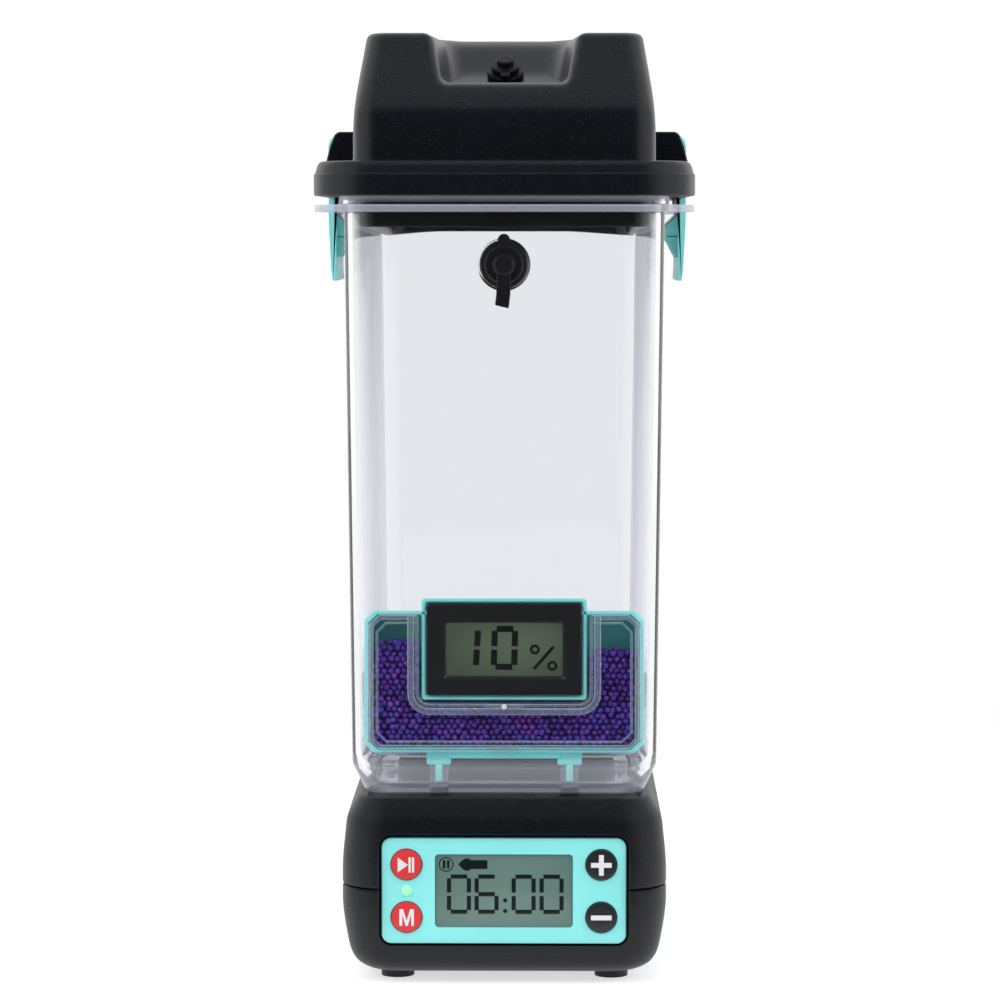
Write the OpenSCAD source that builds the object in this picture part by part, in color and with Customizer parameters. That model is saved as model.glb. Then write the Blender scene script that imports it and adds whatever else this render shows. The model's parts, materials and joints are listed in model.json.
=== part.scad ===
// Filament dryer box: a clear spool tub with a latched lid, standing on a heated air dock.
// Millimetres. +Z is up, the display end faces -Y, the origin is the bottom centre of the feet.

/* [Dock] */
// How far the dock's sides stand out past the tub
dock_over_w = 1.1; // [0.8:0.1:2.5]
// How far the dock's ends stand out past the tub
dock_over_l = 3.5; // [2:0.5:6]
// Height of the parting line between the two shells
dock_split_z = 30; // [29:0.5:32]
// Height where the upper shell's side turns into its top chamfer
dock_shoulder_z = 51.5; // [50:0.5:53]
// Height of the deck that the tub stands on
deck_z = 58; // [57:0.5:60]
// Wall thickness of both shells
dock_wall = 2.5; // [2:0.1:3]
// Radius of the dock's upright corners
dock_corner_r = 15; // [12:0.5:17]
// Height of the shells' underside above the ground
foot_h = 3; // [2.5:0.1:3.5]
// Radius of a rubber foot
foot_r = 5.2; // [4.5:0.1:6]
// Distance of the feet from the dock's sides
foot_side = 17; // [16.5:0.5:20]
// Distance of the feet from the dock's ends
foot_end = 20.5; // [19.5:0.5:26]

/* [Tub] */
// Outer width of the tub just under its flange
tub_w = 98.8; // [97:0.1:101]
// Outer length of the tub just under its flange
tub_l = 234; // [230:1:238]
// Height of the flange's underside
flange_z = 239; // [232:1:246]
// Wall thickness of the tub
tub_wall = 2.5; // [2.2:0.1:2.8]
// Thickness of the tub's floor
tub_floor = 2.5; // [2.2:0.1:3]
// Narrowing of each side per millimetre of height
tub_draft = 0.0118; // [0.008:0.001:0.014]
// Radius of the tub's upright corners
tub_corner_r = 10; // [9:0.5:11]
// How far the flange stands out from the wall
flange_out = 9.1; // [8.5:0.1:9.6]
// Thickness of the flange
flange_t = 2.2; // [2:0.1:2.6]
// Height of the sealing rim above the flange
rim_h = 3.5; // [3:0.1:4]

/* [Lid] */
// Height of the lid's band
band_h = 10.6; // [9.5:0.1:12]
// Height of the block's upright walls above the band
block_h = 15.7; // [14:0.1:18]
// Height of the sloping crown above the upright walls
crown_h = 24.2; // [22:0.1:26]
// How far the block is set in from the band's edge
block_in = 12; // [11.8:0.1:12.6]
// How far the crown's sides lean in
crown_side_in = 4; // [3:0.1:6]
// How far the crown's ends lean in
crown_end_in = 16; // [13:0.5:18]
// Wall thickness of the lid
lid_wall = 2.3; // [2:0.1:2.6]
// Depth of the skirt below the band
skirt_h = 9.4; // [8:0.1:10]
// Half width of the hand notch at its floor's front edge
notch_half_w = 19.4; // [17:0.1:22]
// Height of the notch's floor above the crown's foot
notch_floor_up = 8.5; // [7:0.1:10]
// Distance from the crown's front edge to the notch's back edge
notch_back = 47; // [42:0.5:50]

/* [Latches] */
// Width of a latch along the box
latch_w = 43; // [36:0.5:48]
// Height of the hinge pin above the band
hinge_up = 6.9; // [6.4:0.1:7.4]
// Radius of the hinge pin
pin_r = 1.5; // [1.2:0.1:1.8]
// Thickness of the latch plate
latch_t = 2.6; // [2.2:0.1:2.8]
// Distance from the flange's underside down to the latch's tip
latch_drop = 22.3; // [20:0.1:24]
// Width of each hinge ear
ear_w = 7.5; // [6:0.1:9]

/* [Control panel] */
// Width of the control panel
panel_w = 75.7; // [73:0.1:77]
// Height of the control panel
panel_h = 33; // [32:0.1:34]
// Height of the panel's centre line
panel_z = 29.7; // [29:0.1:30.4]
// Thickness of the panel
panel_t = 2; // [1.6:0.1:2.4]
// Distance of the clock display from the panel's sides
display_side = 16.55; // [15.85:0.05:17.85]
// Height of the clock display
display_h = 22.8; // [21:0.1:24]
// Radius of a push button
button_r = 4.8; // [4.3:0.1:5]
// Distance of the buttons' centres from the panel's sides
button_side = 7.75; // [7.45:0.05:8.25]
// Distance of the buttons above and below the panel's centre line
button_dz = 8.2; // [7.6:0.1:8.6]
// Travel of a push button
button_travel = 0.8; // [0.5:0.1:0.9]

/* [Desiccant box] */
// Clearance between the desiccant box and the tub's sides
tray_side_gap = 1.9; // [1.6:0.1:3]
// Height of the desiccant box's side wings
tray_h = 44.4; // [42:0.1:47]
// Depth of the desiccant box, front to back
tray_d = 22; // [19:0.5:25]
// Height of the tray's underside above the tub's floor
tray_up = 10.1; // [9.5:0.1:11]
// Wall thickness of the tray
tray_wall = 1.6; // [1.4:0.1:2]
// Thickness of the clear cover
cover_t = 1.6; // [1.3:0.1:1.9]
// Width of the hygrometer's bezel
meter_w = 48; // [46:0.1:49]
// Height of the hygrometer's bezel
meter_h = 28.6; // [27.5:0.1:29.5]
// Height of the hygrometer's centre above the tray's underside
meter_up = 32.5; // [31.8:0.1:33.2]
// Distance of the legs from the centre line
leg_x = 20.3; // [18:0.1:23]
// Width of a leg
leg_w = 7.6; // [7:0.1:8.5]

/* [Rollers] */
// Radius of a spool roller
roller_r = 7; // [6.5:0.1:7.5]
// Clearance between the rollers' cradle and the tub's sides
cradle_side_gap = 1.6; // [1:0.1:3]
// Half the distance between the two roller axles
roller_span = 45; // [42:0.5:48]
// Height of the axles above the tub's floor
roller_up = 10.5; // [10:0.1:11.5]
// Radius of an axle
axle_r = 2.5; // [2:0.1:2.8]

/* [Air system] */
// Clearance between the fan and the power socket
fan_rear_gap = 0.7; // [0.5:0.1:2]
// Radius of the valve openings in the tub's floor
valve_hole_r = 8; // [7.8:0.1:8.6]
// Travel of an air valve
valve_travel = 4; // [3:0.1:4.5]
// Clearance between the fan and the dock's side wall
fan_side_gap = 3.2; // [2.5:0.1:4]
// Clearance between the fan and the dock's middle
fan_mid_gap = 2; // [1.5:0.1:3]
// Height of the fan housing
fan_h = 20; // [18:0.5:20.5]
// How much narrower the air duct is than the fan
duct_less = 10; // [9:0.5:12]
// Wall thickness of the air duct
duct_wall = 1.6; // [1.3:0.1:2]

/* [Filament ports] */
// Height of the front port below the flange's underside
front_port_down = 16.1; // [15.2:0.1:20]
// Radius of the front plug's cap
plug_cap_r = 7.3; // [6.8:0.1:7.6]
// Radius of the filament bore
filament_bore_r = 2.05; // [1.9:0.05:2.2]
// Radius of the lid plug's cap
lid_plug_cap_r = 4.4; // [4:0.1:4.8]

/* [Fits] */
// Clearance between parts that lift or swing apart
gap = 0.3; // [0.2:0.05:0.4]
// Radial running clearance of pins, axles and stems
run = 0.05; // [0.03:0.01:0.08]
// Radial clearance of parts that are pressed together
press = 0.02; // [0.01:0.005:0.03]

/* [Hidden] */
$fn = 64;

// Colours
dark_plastic = [0.09, 0.095, 0.11];
turquoise = [0.44, 0.88, 0.86];
clear_plastic = [0.86, 0.88, 0.94, 0.35];
screen_grey = [0.62, 0.68, 0.62];
board_green = [0.07, 0.30, 0.18];
steel = [0.72, 0.73, 0.75];
dark_rubber = [0.06, 0.06, 0.07];

// Small shared lengths
skin = 0.1;
hull_fn = 32;
reach = 20;
far = 400;

// Dock levels and faces
dock_w = tub_w + 2 * dock_over_w;
dock_l = tub_l + 2 * dock_over_l;
foot_x = dock_w / 2 - foot_side;
foot_y = dock_l / 2 - foot_end;
dock_base_z = foot_h;
dock_knee_z = foot_h + 3.6;
dock_base_in = 9.9;
dock_knee_in = 2.8;
dock_shoulder_in = 1.4;
deck_in = 5.2;
parting_gap = 0.35;
dock_floor_z = dock_base_z + dock_wall;
deck_under_z = deck_z - dock_wall;
dock_front = -dock_l / 2;

// Panel faces, counted from the dock's front
panel_face = dock_front + 2.1;
panel_back = panel_face + panel_t;
bezel_gap = 1.1;
frame_t = 2.8;
frame_back = panel_back + frame_t;
display_w = panel_w - 2 * display_side;
button_x = panel_w / 2 - button_side;
window_w = panel_w - 2.5;
window_h = panel_h - 3.2;
board_standoff = 4;
board_t = 1.6;
board_face = frame_back + board_standoff;
button_flange_t = 1;
button_proud = 0.8;
switch_t = 1.2;
panel_corner_r = 3;
display_corner_r = 1.2;
light_r = 1.7;

// Screws of the dock
screw_r = 1.3;
screw_head_r = 2.9;
screw_seat_z = dock_base_z + 4;
screw_tip_z = dock_split_z + 4;
screw_column_r = 4;
screw_join_z = dock_split_z - 6;
screw_x = dock_w / 2 - 14.5;
screw_front_y = -(dock_l / 2 - 35);
screw_rear_y = dock_l / 2 - 12;
screw_spots = [for (x = [-1, 1], y = [screw_front_y, screw_rear_y]) [x * screw_x, y]];
foot_spots = [for (x = [-1, 1], y = [-1, 1]) [x * foot_x, y * foot_y]];
foot_recess = 0.7;

// Boards, power socket and leads
main_board_w = 2 * (screw_x - screw_column_r - 2);
main_board_l = 62;
main_board_back = 62.5;
main_board_y = dock_front + main_board_back;
main_board_end_y = main_board_y + main_board_l / 2;
main_board_z = dock_floor_z + 7;
main_board_posts = [main_board_y - main_board_l / 2 + 4, main_board_end_y - 4];
seat_r = 3;
transformer = [18, 22, 14];
relay = [14, 18, 11];
lead_plug = [8, 6, 7];
socket_w = 9.5;
socket_h = 11;
socket_l = 10.5;
socket_r = 3.6;
plug_well_r = 2.8;
plug_pin_r = 1.05;
socket_z = dock_floor_z + 10;
socket_back_y = dock_l / 2 - dock_wall - dock_knee_in;
socket_front_y = socket_back_y - socket_l;
socket_mouth_y = socket_back_y + 3.4;
lead_r = 1.1;
lead_z = dock_floor_z + 5;

// Tub levels
tub_stand = 0.9;
tub_z = deck_z + tub_stand;
tub_pad_h = tub_stand - gap;
tub_foot_in = 4;
tub_foot_h = 8.9;
tub_floor_z = tub_z + tub_floor;
flange_top_z = flange_z + flange_t;
rim_top_z = flange_top_z + rim_h;
rim_out = 1.4;
rim_wall = 2.5;
rim_w = tub_w + 2 * rim_out;
rim_l = tub_l + 2 * rim_out;
flange_w = tub_w + 2 * flange_out;
flange_l = tub_l + 2 * flange_out;
flange_corner_r = tub_corner_r + flange_out;
function tub_w_at(z) = tub_w - 2 * tub_draft * (flange_z - z);
function tub_l_at(z) = tub_l - 2 * tub_draft * (flange_z - z);
function tub_inner_front(z) = -tub_l_at(z) / 2 + tub_wall;

// Lid levels
band_z = rim_top_z - 0.8;
band_top_z = band_z + band_h;
block_top_z = band_top_z + block_h;
crown_top_z = block_top_z + crown_h;
band_w = flange_w + 0.4;
band_l = flange_l + 0.4;
band_corner_r = flange_corner_r + 0.2;
block_w = band_w - 2 * block_in;
block_l = band_l - 2 * block_in;
block_corner_r = 8;
crown_w = block_w - 2 * crown_side_in;
crown_l = block_l - 2 * crown_end_in;
crown_corner_r = 6;
skirt_z = band_z - skirt_h;
skirt_side_gap = 1.6;
skirt_w = tub_w - 2 * tub_wall - 2 * skirt_side_gap;
skirt_l = tub_l - 2 * tub_wall - 2 * skirt_side_gap;
skirt_corner_r = tub_corner_r - tub_wall - 0.5;
skirt_inner_w = skirt_w - 2 * lid_wall;
skirt_inner_l = skirt_l - 2 * lid_wall;
seal_t = 2.2;
seal_z = rim_top_z + gap;
seal_side = 0.5;

// Notch in the crown
notch_floor_z = block_top_z + notch_floor_up;
notch_back_top_y = -crown_l / 2 + notch_back;
notch_back_floor_y = notch_back_top_y - 24;
notch_fillet_r = 5;
notch_open_more = 2;
notch_rise = crown_top_z - notch_floor_z;
notch_run = notch_back_top_y - notch_back_floor_y;
notch_tilt = atan2(notch_rise, notch_run);
lid_port_up = 0.17;
lid_port_y = notch_back_floor_y + lid_port_up * notch_run;
lid_port_z = notch_floor_z + lid_port_up * notch_rise;
lid_boss_r = 5.8;
lid_boss_h = 3;
lid_fitting_r = 3.6;

// Latch and hinge
hinge_x = tub_w / 2 + 6.3;
hinge_z = band_top_z + hinge_up;
knuckle_r = pin_r + 1.9;
ear_gap = 0.6;
ear_in_y = latch_w / 2 + ear_gap;
ear_out_y = ear_in_y + ear_w;
plate_out_x = hinge_x + 3.4;
plate_in_x = plate_out_x - latch_t;
lip_x = plate_in_x - gap;
lip_slope = 3;
lip_depth = 3.2;
lip_z = flange_z - lip_depth;
hook_reach = plate_in_x - 3.9;
hook_half = latch_w / 2 - 3.5;
latch_tip_z = flange_z - latch_drop;
hook_top_z = flange_z - gap - 0.1;
hook_foot_z = lip_z - gap - 4.5;
rib_foot_z = hook_foot_z - 8;
rib_t = 1.6;
rib_count = 5;

// Desiccant box
tray_z = tub_floor_z + tray_up;
tray_w = tub_w_at(tray_z) - 2 * tub_wall - 2 * tray_side_gap;
tray_top_z = tray_z + tray_h;
cover_front = tub_inner_front(tray_z) + 1.9;
tray_front = cover_front + cover_t;
tray_back = cover_front + tray_d;
tray_chamfer = 2.8;
tray_plan_r = 3.5;
meter_z = tray_z + meter_up;
meter_frame_wall = 1.6;
meter_body_in = 1.2;
meter_frame_w = meter_w + 2 * meter_frame_wall;
meter_frame_top_z = meter_z + meter_h / 2 + 1.5;
meter_frame_z = meter_z - meter_h / 2 - meter_frame_wall;
meter_face = cover_front - 0.6;
meter_depth = 14;
meter_pocket_back = meter_face + meter_depth + 0.5;
meter_screen_w = 36.4;
meter_screen_h = 16.9;
post_slot_w = 2.8;
post_w = 5.6;
post_l = 5;
post_top_up = 5.3;
leg_l = 6;
leg_y = tray_front + 3.4;
tongue_w = 2.2;
bead_gap = 0.25;

// Rollers
spool_y = 4;
roller_z = tub_floor_z + roller_up;
bearing_w = 4;
bearing_r = axle_r + 2.5;
cradle_t = 1.6;
cradle_wall_t = 3.2;
cradle_half = tub_w_at(tub_z) / 2 - tub_foot_in - tub_wall - cradle_side_gap;
roller_side_gap = 1;
roller_l = 2 * (cradle_half - cradle_wall_t - roller_side_gap);
axle_half = cradle_half - 0.6;
cheek_w = 2 * (axle_r + 2.6);

// Place and width of the fan, the duct and the air ports
bay_half = dock_w / 2 - dock_knee_in - dock_wall;
fan_w = bay_half - fan_side_gap - fan_mid_gap;
duct_w = fan_w - duct_less;
port_x = fan_mid_gap + fan_w / 2;
port_y = socket_front_y - fan_rear_gap - fan_w / 2;

// Air valves
valve_seal_t = 1;
valve_disc_t = 1.5;
valve_disc_r = valve_hole_r + 2;
valve_stem_r = 1.5;
valve_seat_z = tub_floor_z + gap;
valve_open_z = valve_seat_z + valve_travel;
cage_r = valve_disc_r + 2.6;
cage_t = 1.8;
cage_top_z = valve_open_z + valve_seal_t + valve_disc_t + 11.2;
nozzle_r = valve_hole_r - 0.7;
nozzle_wall = 1.4;
nozzle_top_z = tub_z + 1.4;
pusher_r = 1.3;
pusher_top_z = valve_open_z - gap;
gasket_h = tub_stand - gap;
spring_wire_r = 0.45;
spring_r = 3.6;
spring_turns = 4;

// Fan, heater and duct
fan_z = dock_floor_z + 4;
fan_top_z = fan_z + fan_h;
fan_wall = 1.8;
fan_out_y = port_y - fan_w / 2;
fan_inlet_r = valve_hole_r + 3;
fan_cavity_r = fan_w / 2 - 2.6;
impeller_r = fan_cavity_r - 1.2;
impeller_blades = 22;
duct_in_x = port_x - duct_w / 2;
duct_turn_y = fan_out_y - 52;
heater_l = 20;
heater_y = fan_out_y - heater_l / 2 - 6;
heater_fin_count = 12;
chimney_r = nozzle_r + 1.2;
duct_end_y = port_y + chimney_r + 3;
probe_r = 1.4;
probe_y = port_y - 18;
lead_x = port_x + duct_w / 2 + duct_wall + lead_r + 0.5;

// Front filament port
front_port_z = flange_z - front_port_down;
port_wall_out = -tub_l_at(front_port_z) / 2;
port_wall_in = port_wall_out + tub_wall;
port_boss_r = plug_cap_r + 0.8;
port_boss_h = 1;
port_hole_r = 5;
fitting_flange_r = 7;
plug_stem_l = 8;
knob_r = 3.3;

// ---------- Shared shapes ----------

// Flat rectangle with true round corners
module rounded_rect(w, l, r) {
    square([w - 2 * r, l], center = true);
    square([w, l - 2 * r], center = true);
    for (x = [-1, 1], y = [-1, 1])
        translate([x * (w / 2 - r), y * (l / 2 - r)]) circle(r);
}

// Upright block with round corners, standing on height z
module slab(w, l, r, z, h) {
    translate([0, 0, z]) linear_extrude(h) rounded_rect(w, l, r);
}

// Smooth body through level outlines, each [height, width, length, corner radius]
module loft(outlines) {
    hull() for (o = outlines)
        translate([0, 0, o[0]]) linear_extrude(skin) rounded_rect(o[1], o[2], o[3], $fn = hull_fn);
}

// Cylinder whose axis runs along Y from y0 to y1
module y_rod(r, x, z, y0, y1) {
    translate([x, y1, z]) rotate([90, 0, 0]) cylinder(r = r, h = y1 - y0);
}

// Cylinder whose axis runs along X from x0 to x1
module x_rod(r, y, z, x0, x1) {
    translate([x0, y, z]) rotate([0, 90, 0]) cylinder(r = r, h = x1 - x0);
}

// Block between two corners
module block(low, high) {
    translate(low) cube(high - low);
}

// Upright plate with round corners that faces -Y, from y0 back to y1
module front_plate(w, h, r, z, y0, y1) {
    translate([0, y1, z]) rotate([90, 0, 0]) linear_extrude(y1 - y0) rounded_rect(w, h, r);
}

// Outline in the XZ plane carried along Y from y0 to y1
module along_y(y0, y1) {
    translate([0, y1, 0]) rotate([90, 0, 0]) linear_extrude(y1 - y0) children();
}

// Ring standing on height z
module ring(outer, inner, z, h) {
    translate([0, 0, z]) difference() {
        cylinder(r = outer, h = h);
        translate([0, 0, -1]) cylinder(r = inner, h = h + 2);
    }
}

// Eight-sided tube swept along rings of points
module tube(rings) {
    last = len(rings) - 1;
    polyhedron([for (r = rings) each r], concat(
        [[for (k = [0:7]) k]],
        [for (i = [0:last - 1], k = [0:7])
            [8 * i + k, 8 * (i + 1) + k, 8 * (i + 1) + (k + 1) % 8, 8 * i + (k + 1) % 8]],
        [[for (k = [7:-1:0]) 8 * last + k]]
    ), convexity = 8);
}

// Ring of eight points round p, square to the direction d
function ring_round(p, d, r) =
    let (side = cross(d, [0, 0, 1]) / norm(cross(d, [0, 0, 1])), up = cross(side, d / norm(d)))
    [for (k = [0:7]) p + r * (cos(45 * k) * side + sin(45 * k) * up)];

// Round lead along a route of points
module lead(route, r) {
    last = len(route) - 1;
    tube([for (i = [0:last]) ring_round(route[i], route[min(i + 1, last)] - route[max(i - 1, 0)], r)]);
}

// ---------- Dock ----------

function dock_outline(z, inset, off) =
    [z, dock_w - 2 * inset - 2 * off, dock_l - 2 * inset - 2 * off, dock_corner_r - off];

module lower_body(off) {
    loft([
        dock_outline(dock_base_z + off, dock_base_in, off),
        dock_outline(dock_knee_z + off / 2, dock_knee_in, off),
        dock_outline(dock_split_z - parting_gap / 2 - skin + (off > 0 ? 1 : 0), 0, off)
    ]);
}

module upper_body(off) {
    loft([
        dock_outline(dock_split_z + parting_gap / 2 - (off > 0 ? 1 : 0), 0, off),
        dock_outline(dock_shoulder_z - off / 2, dock_shoulder_in, off),
        dock_outline(deck_z - off - skin, deck_in, off)
    ]);
}

// Frame inside the front wall that backs the control panel
module panel_frame() {
    front_plate(panel_w + 6, panel_h + 5.6, 2, panel_z, panel_face + 1, frame_back);
}

// Recess for the panel, and the window behind it
module panel_pocket() {
    front_plate(panel_w + 2 * bezel_gap, panel_h + 2 * bezel_gap, panel_corner_r + bezel_gap,
        panel_z, dock_front - reach, panel_back);
    front_plate(window_w, window_h, 1.5, panel_z, dock_front - reach, frame_back + 1);
}

// Standoffs that carry the control board, above or below the parting line
module board_pegs(side) {
    for (x = [-1, 1])
        y_rod(1.9, x * (window_w / 2 + 1.5), panel_z + side * (panel_h / 2 - 1.2), frame_back - 1,
            board_face);
}

// Round seat that stands on the dock's floor
module floor_seat(x, y, top_z) {
    translate([x, y, dock_floor_z - 1]) cylinder(r = seat_r, h = top_z - dock_floor_z + 1);
}

module lower_shell() color(dark_plastic) difference() {
    union() {
        difference() {
            lower_body(0);
            lower_body(dock_wall);
        }
        // What joins the wall, kept inside its outer face
        intersection() {
            lower_body(0);
            union() {
                panel_frame();
                for (s = screw_spots) translate([s[0], s[1], dock_base_z])
                    cylinder(r = screw_column_r, h = screw_join_z - dock_base_z);
                // Shelf of the power socket
                block([-socket_w / 2 - 2, socket_front_y, dock_floor_z - 1],
                    [socket_w / 2 + 2, dock_l / 2, socket_z - socket_h / 2]);
            }
        }
        board_pegs(-1);
        // Seats of the main board, the fan and the air duct
        for (x = [-1, 1], y = main_board_posts) floor_seat(x * (main_board_w / 2 - 4), y, main_board_z);
        for (x = [-1, 1], y = [-1, 1])
            floor_seat(-port_x + x * (fan_w / 2 - 5), port_y + y * (fan_w / 2 - 5), fan_z);
        for (x = [-1, 1], y = [duct_turn_y + 6, fan_out_y - 8]) floor_seat(x * port_x, y, fan_z);
    }
    panel_pocket();
    for (s = screw_spots) translate([s[0], s[1], 0]) {
        cylinder(r = screw_head_r + 0.3, h = screw_seat_z);
        cylinder(r = screw_r + 0.2, h = far);
    }
    for (f = foot_spots) translate([f[0], f[1], dock_base_z - 1])
        cylinder(r = foot_r + press, h = 1 + foot_recess);
    y_rod(socket_r, 0, socket_z, socket_back_y, dock_l / 2 + reach);
    translate([0, 0, dock_split_z - parting_gap / 2]) linear_extrude(far) square(far, center = true);
}

module upper_shell() color(dark_plastic) difference() {
    union() {
        difference() {
            upper_body(0);
            upper_body(dock_wall);
        }
        // What joins the wall, kept inside its outer face
        intersection() {
            upper_body(0);
            union() {
                panel_frame();
                for (s = screw_spots) translate([s[0], s[1], dock_split_z - 1])
                    cylinder(r = screw_column_r, h = deck_z - dock_split_z);
            }
        }
        board_pegs(1);
        // Ends of the screw columns, which reach down to the lower shell's columns
        for (s = screw_spots) translate([s[0], s[1], screw_join_z])
            cylinder(r = screw_column_r - 1, h = dock_split_z - screw_join_z + 1);
        // Chimneys from the fan and the duct up to the nozzles
        for (x = [-1, 1]) translate([x * port_x, port_y, 0]) {
            translate([0, 0, fan_top_z + 0.2]) cylinder(r = chimney_r, h = deck_z - fan_top_z - 0.2);
            translate([0, 0, deck_z - 1]) cylinder(r = nozzle_r, h = nozzle_top_z - deck_z + 1);
        }
    }
    panel_pocket();
    for (s = screw_spots) translate([s[0], s[1], screw_join_z - 1])
        cylinder(r = screw_r + press, h = screw_tip_z - screw_join_z + 2);
    for (x = [-1, 1]) translate([x * port_x, port_y, 0]) difference() {
        cylinder(r = nozzle_r - nozzle_wall, h = far);
        // Spider with the post that pushes the valve open
        translate([0, 0, deck_under_z]) {
            cylinder(r = pusher_r, h = pusher_top_z - deck_under_z);
            for (a = [0, 60, 120]) rotate(a) translate([-nozzle_r, -0.6, 0])
                cube([2 * nozzle_r, 1.2, dock_wall]);
        }
    }
}

module control_panel() color(turquoise) difference() {
    front_plate(panel_w, panel_h, panel_corner_r, panel_z, panel_face, panel_back);
    front_plate(display_w + 2 * press, display_h + 2 * press, display_corner_r, panel_z, panel_face - 1,
        panel_back + 1);
    for (x = [-1, 1], z = [-1, 1])
        y_rod(button_r + 0.2, x * button_x, panel_z + z * button_dz, panel_face - 1, panel_back + 1);
    y_rod(light_r + press, -button_x, panel_z, panel_face - 1, panel_back + 1);
}

module clock_display() color(screen_grey)
    front_plate(display_w, display_h, display_corner_r, panel_z, panel_face + 0.4, panel_back);

module display_module() color(dark_plastic)
    front_plate(display_w + 3.4, display_h + 3.4, 1, panel_z, panel_back, board_face);

// One push button: cap, retaining flange and the stem over its switch
module push_button(x, z) {
    y_rod(button_r, x, z, panel_face - button_proud, panel_back + gap + 0.01);
    y_rod(button_r + 0.9, x, z, panel_back + gap, panel_back + gap + button_flange_t);
    y_rod(1.8, x, z, panel_back + gap, board_face - switch_t - button_travel - 0.2);
}
module start_button() color([0.86, 0.16, 0.17]) push_button(-button_x, panel_z + button_dz);
module mode_button() color([0.86, 0.16, 0.17]) push_button(-button_x, panel_z - button_dz);
module plus_button() color(dark_plastic) push_button(button_x, panel_z + button_dz);
module minus_button() color(dark_plastic) push_button(button_x, panel_z - button_dz);

module status_light() color([0.45, 0.9, 0.45])
    y_rod(light_r, -button_x, panel_z, panel_face - 0.2, board_face);

module control_board() color(board_green) {
    front_plate(panel_w + 1, panel_h - 0.4, 1, panel_z, board_face, board_face + board_t);
    for (x = [-1, 1], z = [-1, 1])
        front_switch(x * button_x, panel_z + z * button_dz);
    block([-8, board_face + board_t - skin, panel_z - 14], [8, board_face + board_t + 3, panel_z - 9]);
}
module front_switch(x, z) {
    block([x - 3, board_face - switch_t, z - 3], [x + 3, board_face + skin, z + 3]);
}

// Flat cable from the control board down to the main board
module ribbon_cable() color([0.75, 0.76, 0.78]) {
    top = panel_z - 11.5;
    from = board_face + board_t + 3;
    to = main_board_y - main_board_l / 2;
    low = main_board_z + board_t;
    rotate([90, 0, 90]) translate([0, 0, -6]) linear_extrude(12) polygon([
        [from, top], [from, top + 0.8], [from + 6.5, top + 0.8], [to - 5, low + 0.8], [to + 6, low + 0.8],
        [to + 6, low], [to - 5.3, low], [from + 6.1, top]
    ]);
}

module main_board() color(board_green) translate([0, main_board_y, main_board_z]) {
    w = main_board_w / 2;
    l = main_board_l / 2;
    translate([-w, -l, 0]) cube([2 * w, 2 * l, board_t]);
    // Transformer, relay, capacitors, controller chip and the leads' connector
    translate([w - 4 - transformer[0], -2, board_t - skin]) cube(transformer);
    translate([4 - w, 6, board_t - skin]) cube(relay);
    for (i = [0:2]) translate([10 - w, 2 - 10 * i, board_t - skin]) cylinder(r = 3.5, h = relay[2]);
    translate([2, 7 - l, board_t - skin]) cube([12, 12, 1.6]);
    translate([w - 2 - lead_plug[0], l - lead_plug[1], board_t - skin]) cube(lead_plug);
}

// Leads from the main board along the side wall to the power socket
module power_leads() color([0.55, 0.12, 0.12]) {
    plug_x = main_board_w / 2 - 2 - lead_plug[0] / 2;
    plug_z = main_board_z + board_t + lead_plug[2] / 2;
    route = [
        [plug_x, main_board_end_y + 0.05, plug_z], [plug_x, main_board_end_y + 3, plug_z],
        [screw_x - 3, main_board_end_y + 9, main_board_z], [lead_x, main_board_end_y + 21, lead_z],
        [lead_x, duct_end_y, lead_z], [lead_x - 5, duct_end_y + 6, lead_z + 1],
        [12, duct_end_y + 6, socket_z - 2], [4, socket_front_y - 6, socket_z],
        [2, socket_front_y - 3, socket_z], [2, socket_front_y - 0.05, socket_z]
    ];
    lead(route, lead_r);
}

module fan_housing() color([0.13, 0.13, 0.14]) translate([-port_x, port_y, fan_z]) difference() {
    translate([-fan_w / 2, -fan_w / 2, 0]) cube([fan_w, fan_w, fan_h]);
    difference() {
        union() {
            translate([0, 0, fan_wall]) cylinder(r = fan_cavity_r, h = fan_h - 2 * fan_wall);
            // Outlet into the duct
            translate([duct_wall - duct_w / 2, -fan_w / 2 - 1, fan_wall])
                cube([duct_w / 2, fan_w / 2, fan_h - 2 * fan_wall]);
        }
        cylinder(r = 4, h = fan_wall + 2);
    }
    translate([0, 0, fan_h / 2]) cylinder(r = fan_inlet_r, h = fan_h);
    // Socket of the impeller's shaft
    translate([0, 0, 1]) cylinder(r = 1 + run, h = fan_h);
}

module fan_impeller() color([0.2, 0.2, 0.22]) translate([-port_x, port_y, fan_z]) {
    hub_z = fan_wall + 2 + gap;
    blade_h = fan_h - fan_wall - 1.5 - hub_z;
    translate([0, 0, 1 + gap]) cylinder(r = 1, h = hub_z);
    translate([0, 0, hub_z]) cylinder(r = 6.5, h = blade_h - 1);
    translate([0, 0, hub_z]) cylinder(r = impeller_r, h = 1);
    for (i = [0:impeller_blades - 1]) rotate(i * 360 / impeller_blades)
        translate([impeller_r - 4, -0.4, hub_z + 1 - skin]) cube([3.7, 0.8, blade_h - 1]);
}

// Floor plan of the U-shaped duct, from the fan round to the supply port
module duct_plan(in) {
    translate([-port_x - duct_w / 2 + in, duct_turn_y + in])
        square([duct_w - 2 * in, fan_out_y - duct_turn_y - in + (in > 0 ? 1 : 0)]);
    translate([duct_in_x + in, duct_turn_y + in])
        square([duct_w - 2 * in, duct_end_y - duct_turn_y - 2 * in]);
    translate([-port_x, duct_turn_y + in]) square([2 * port_x, duct_w - 2 * in]);
}

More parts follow.
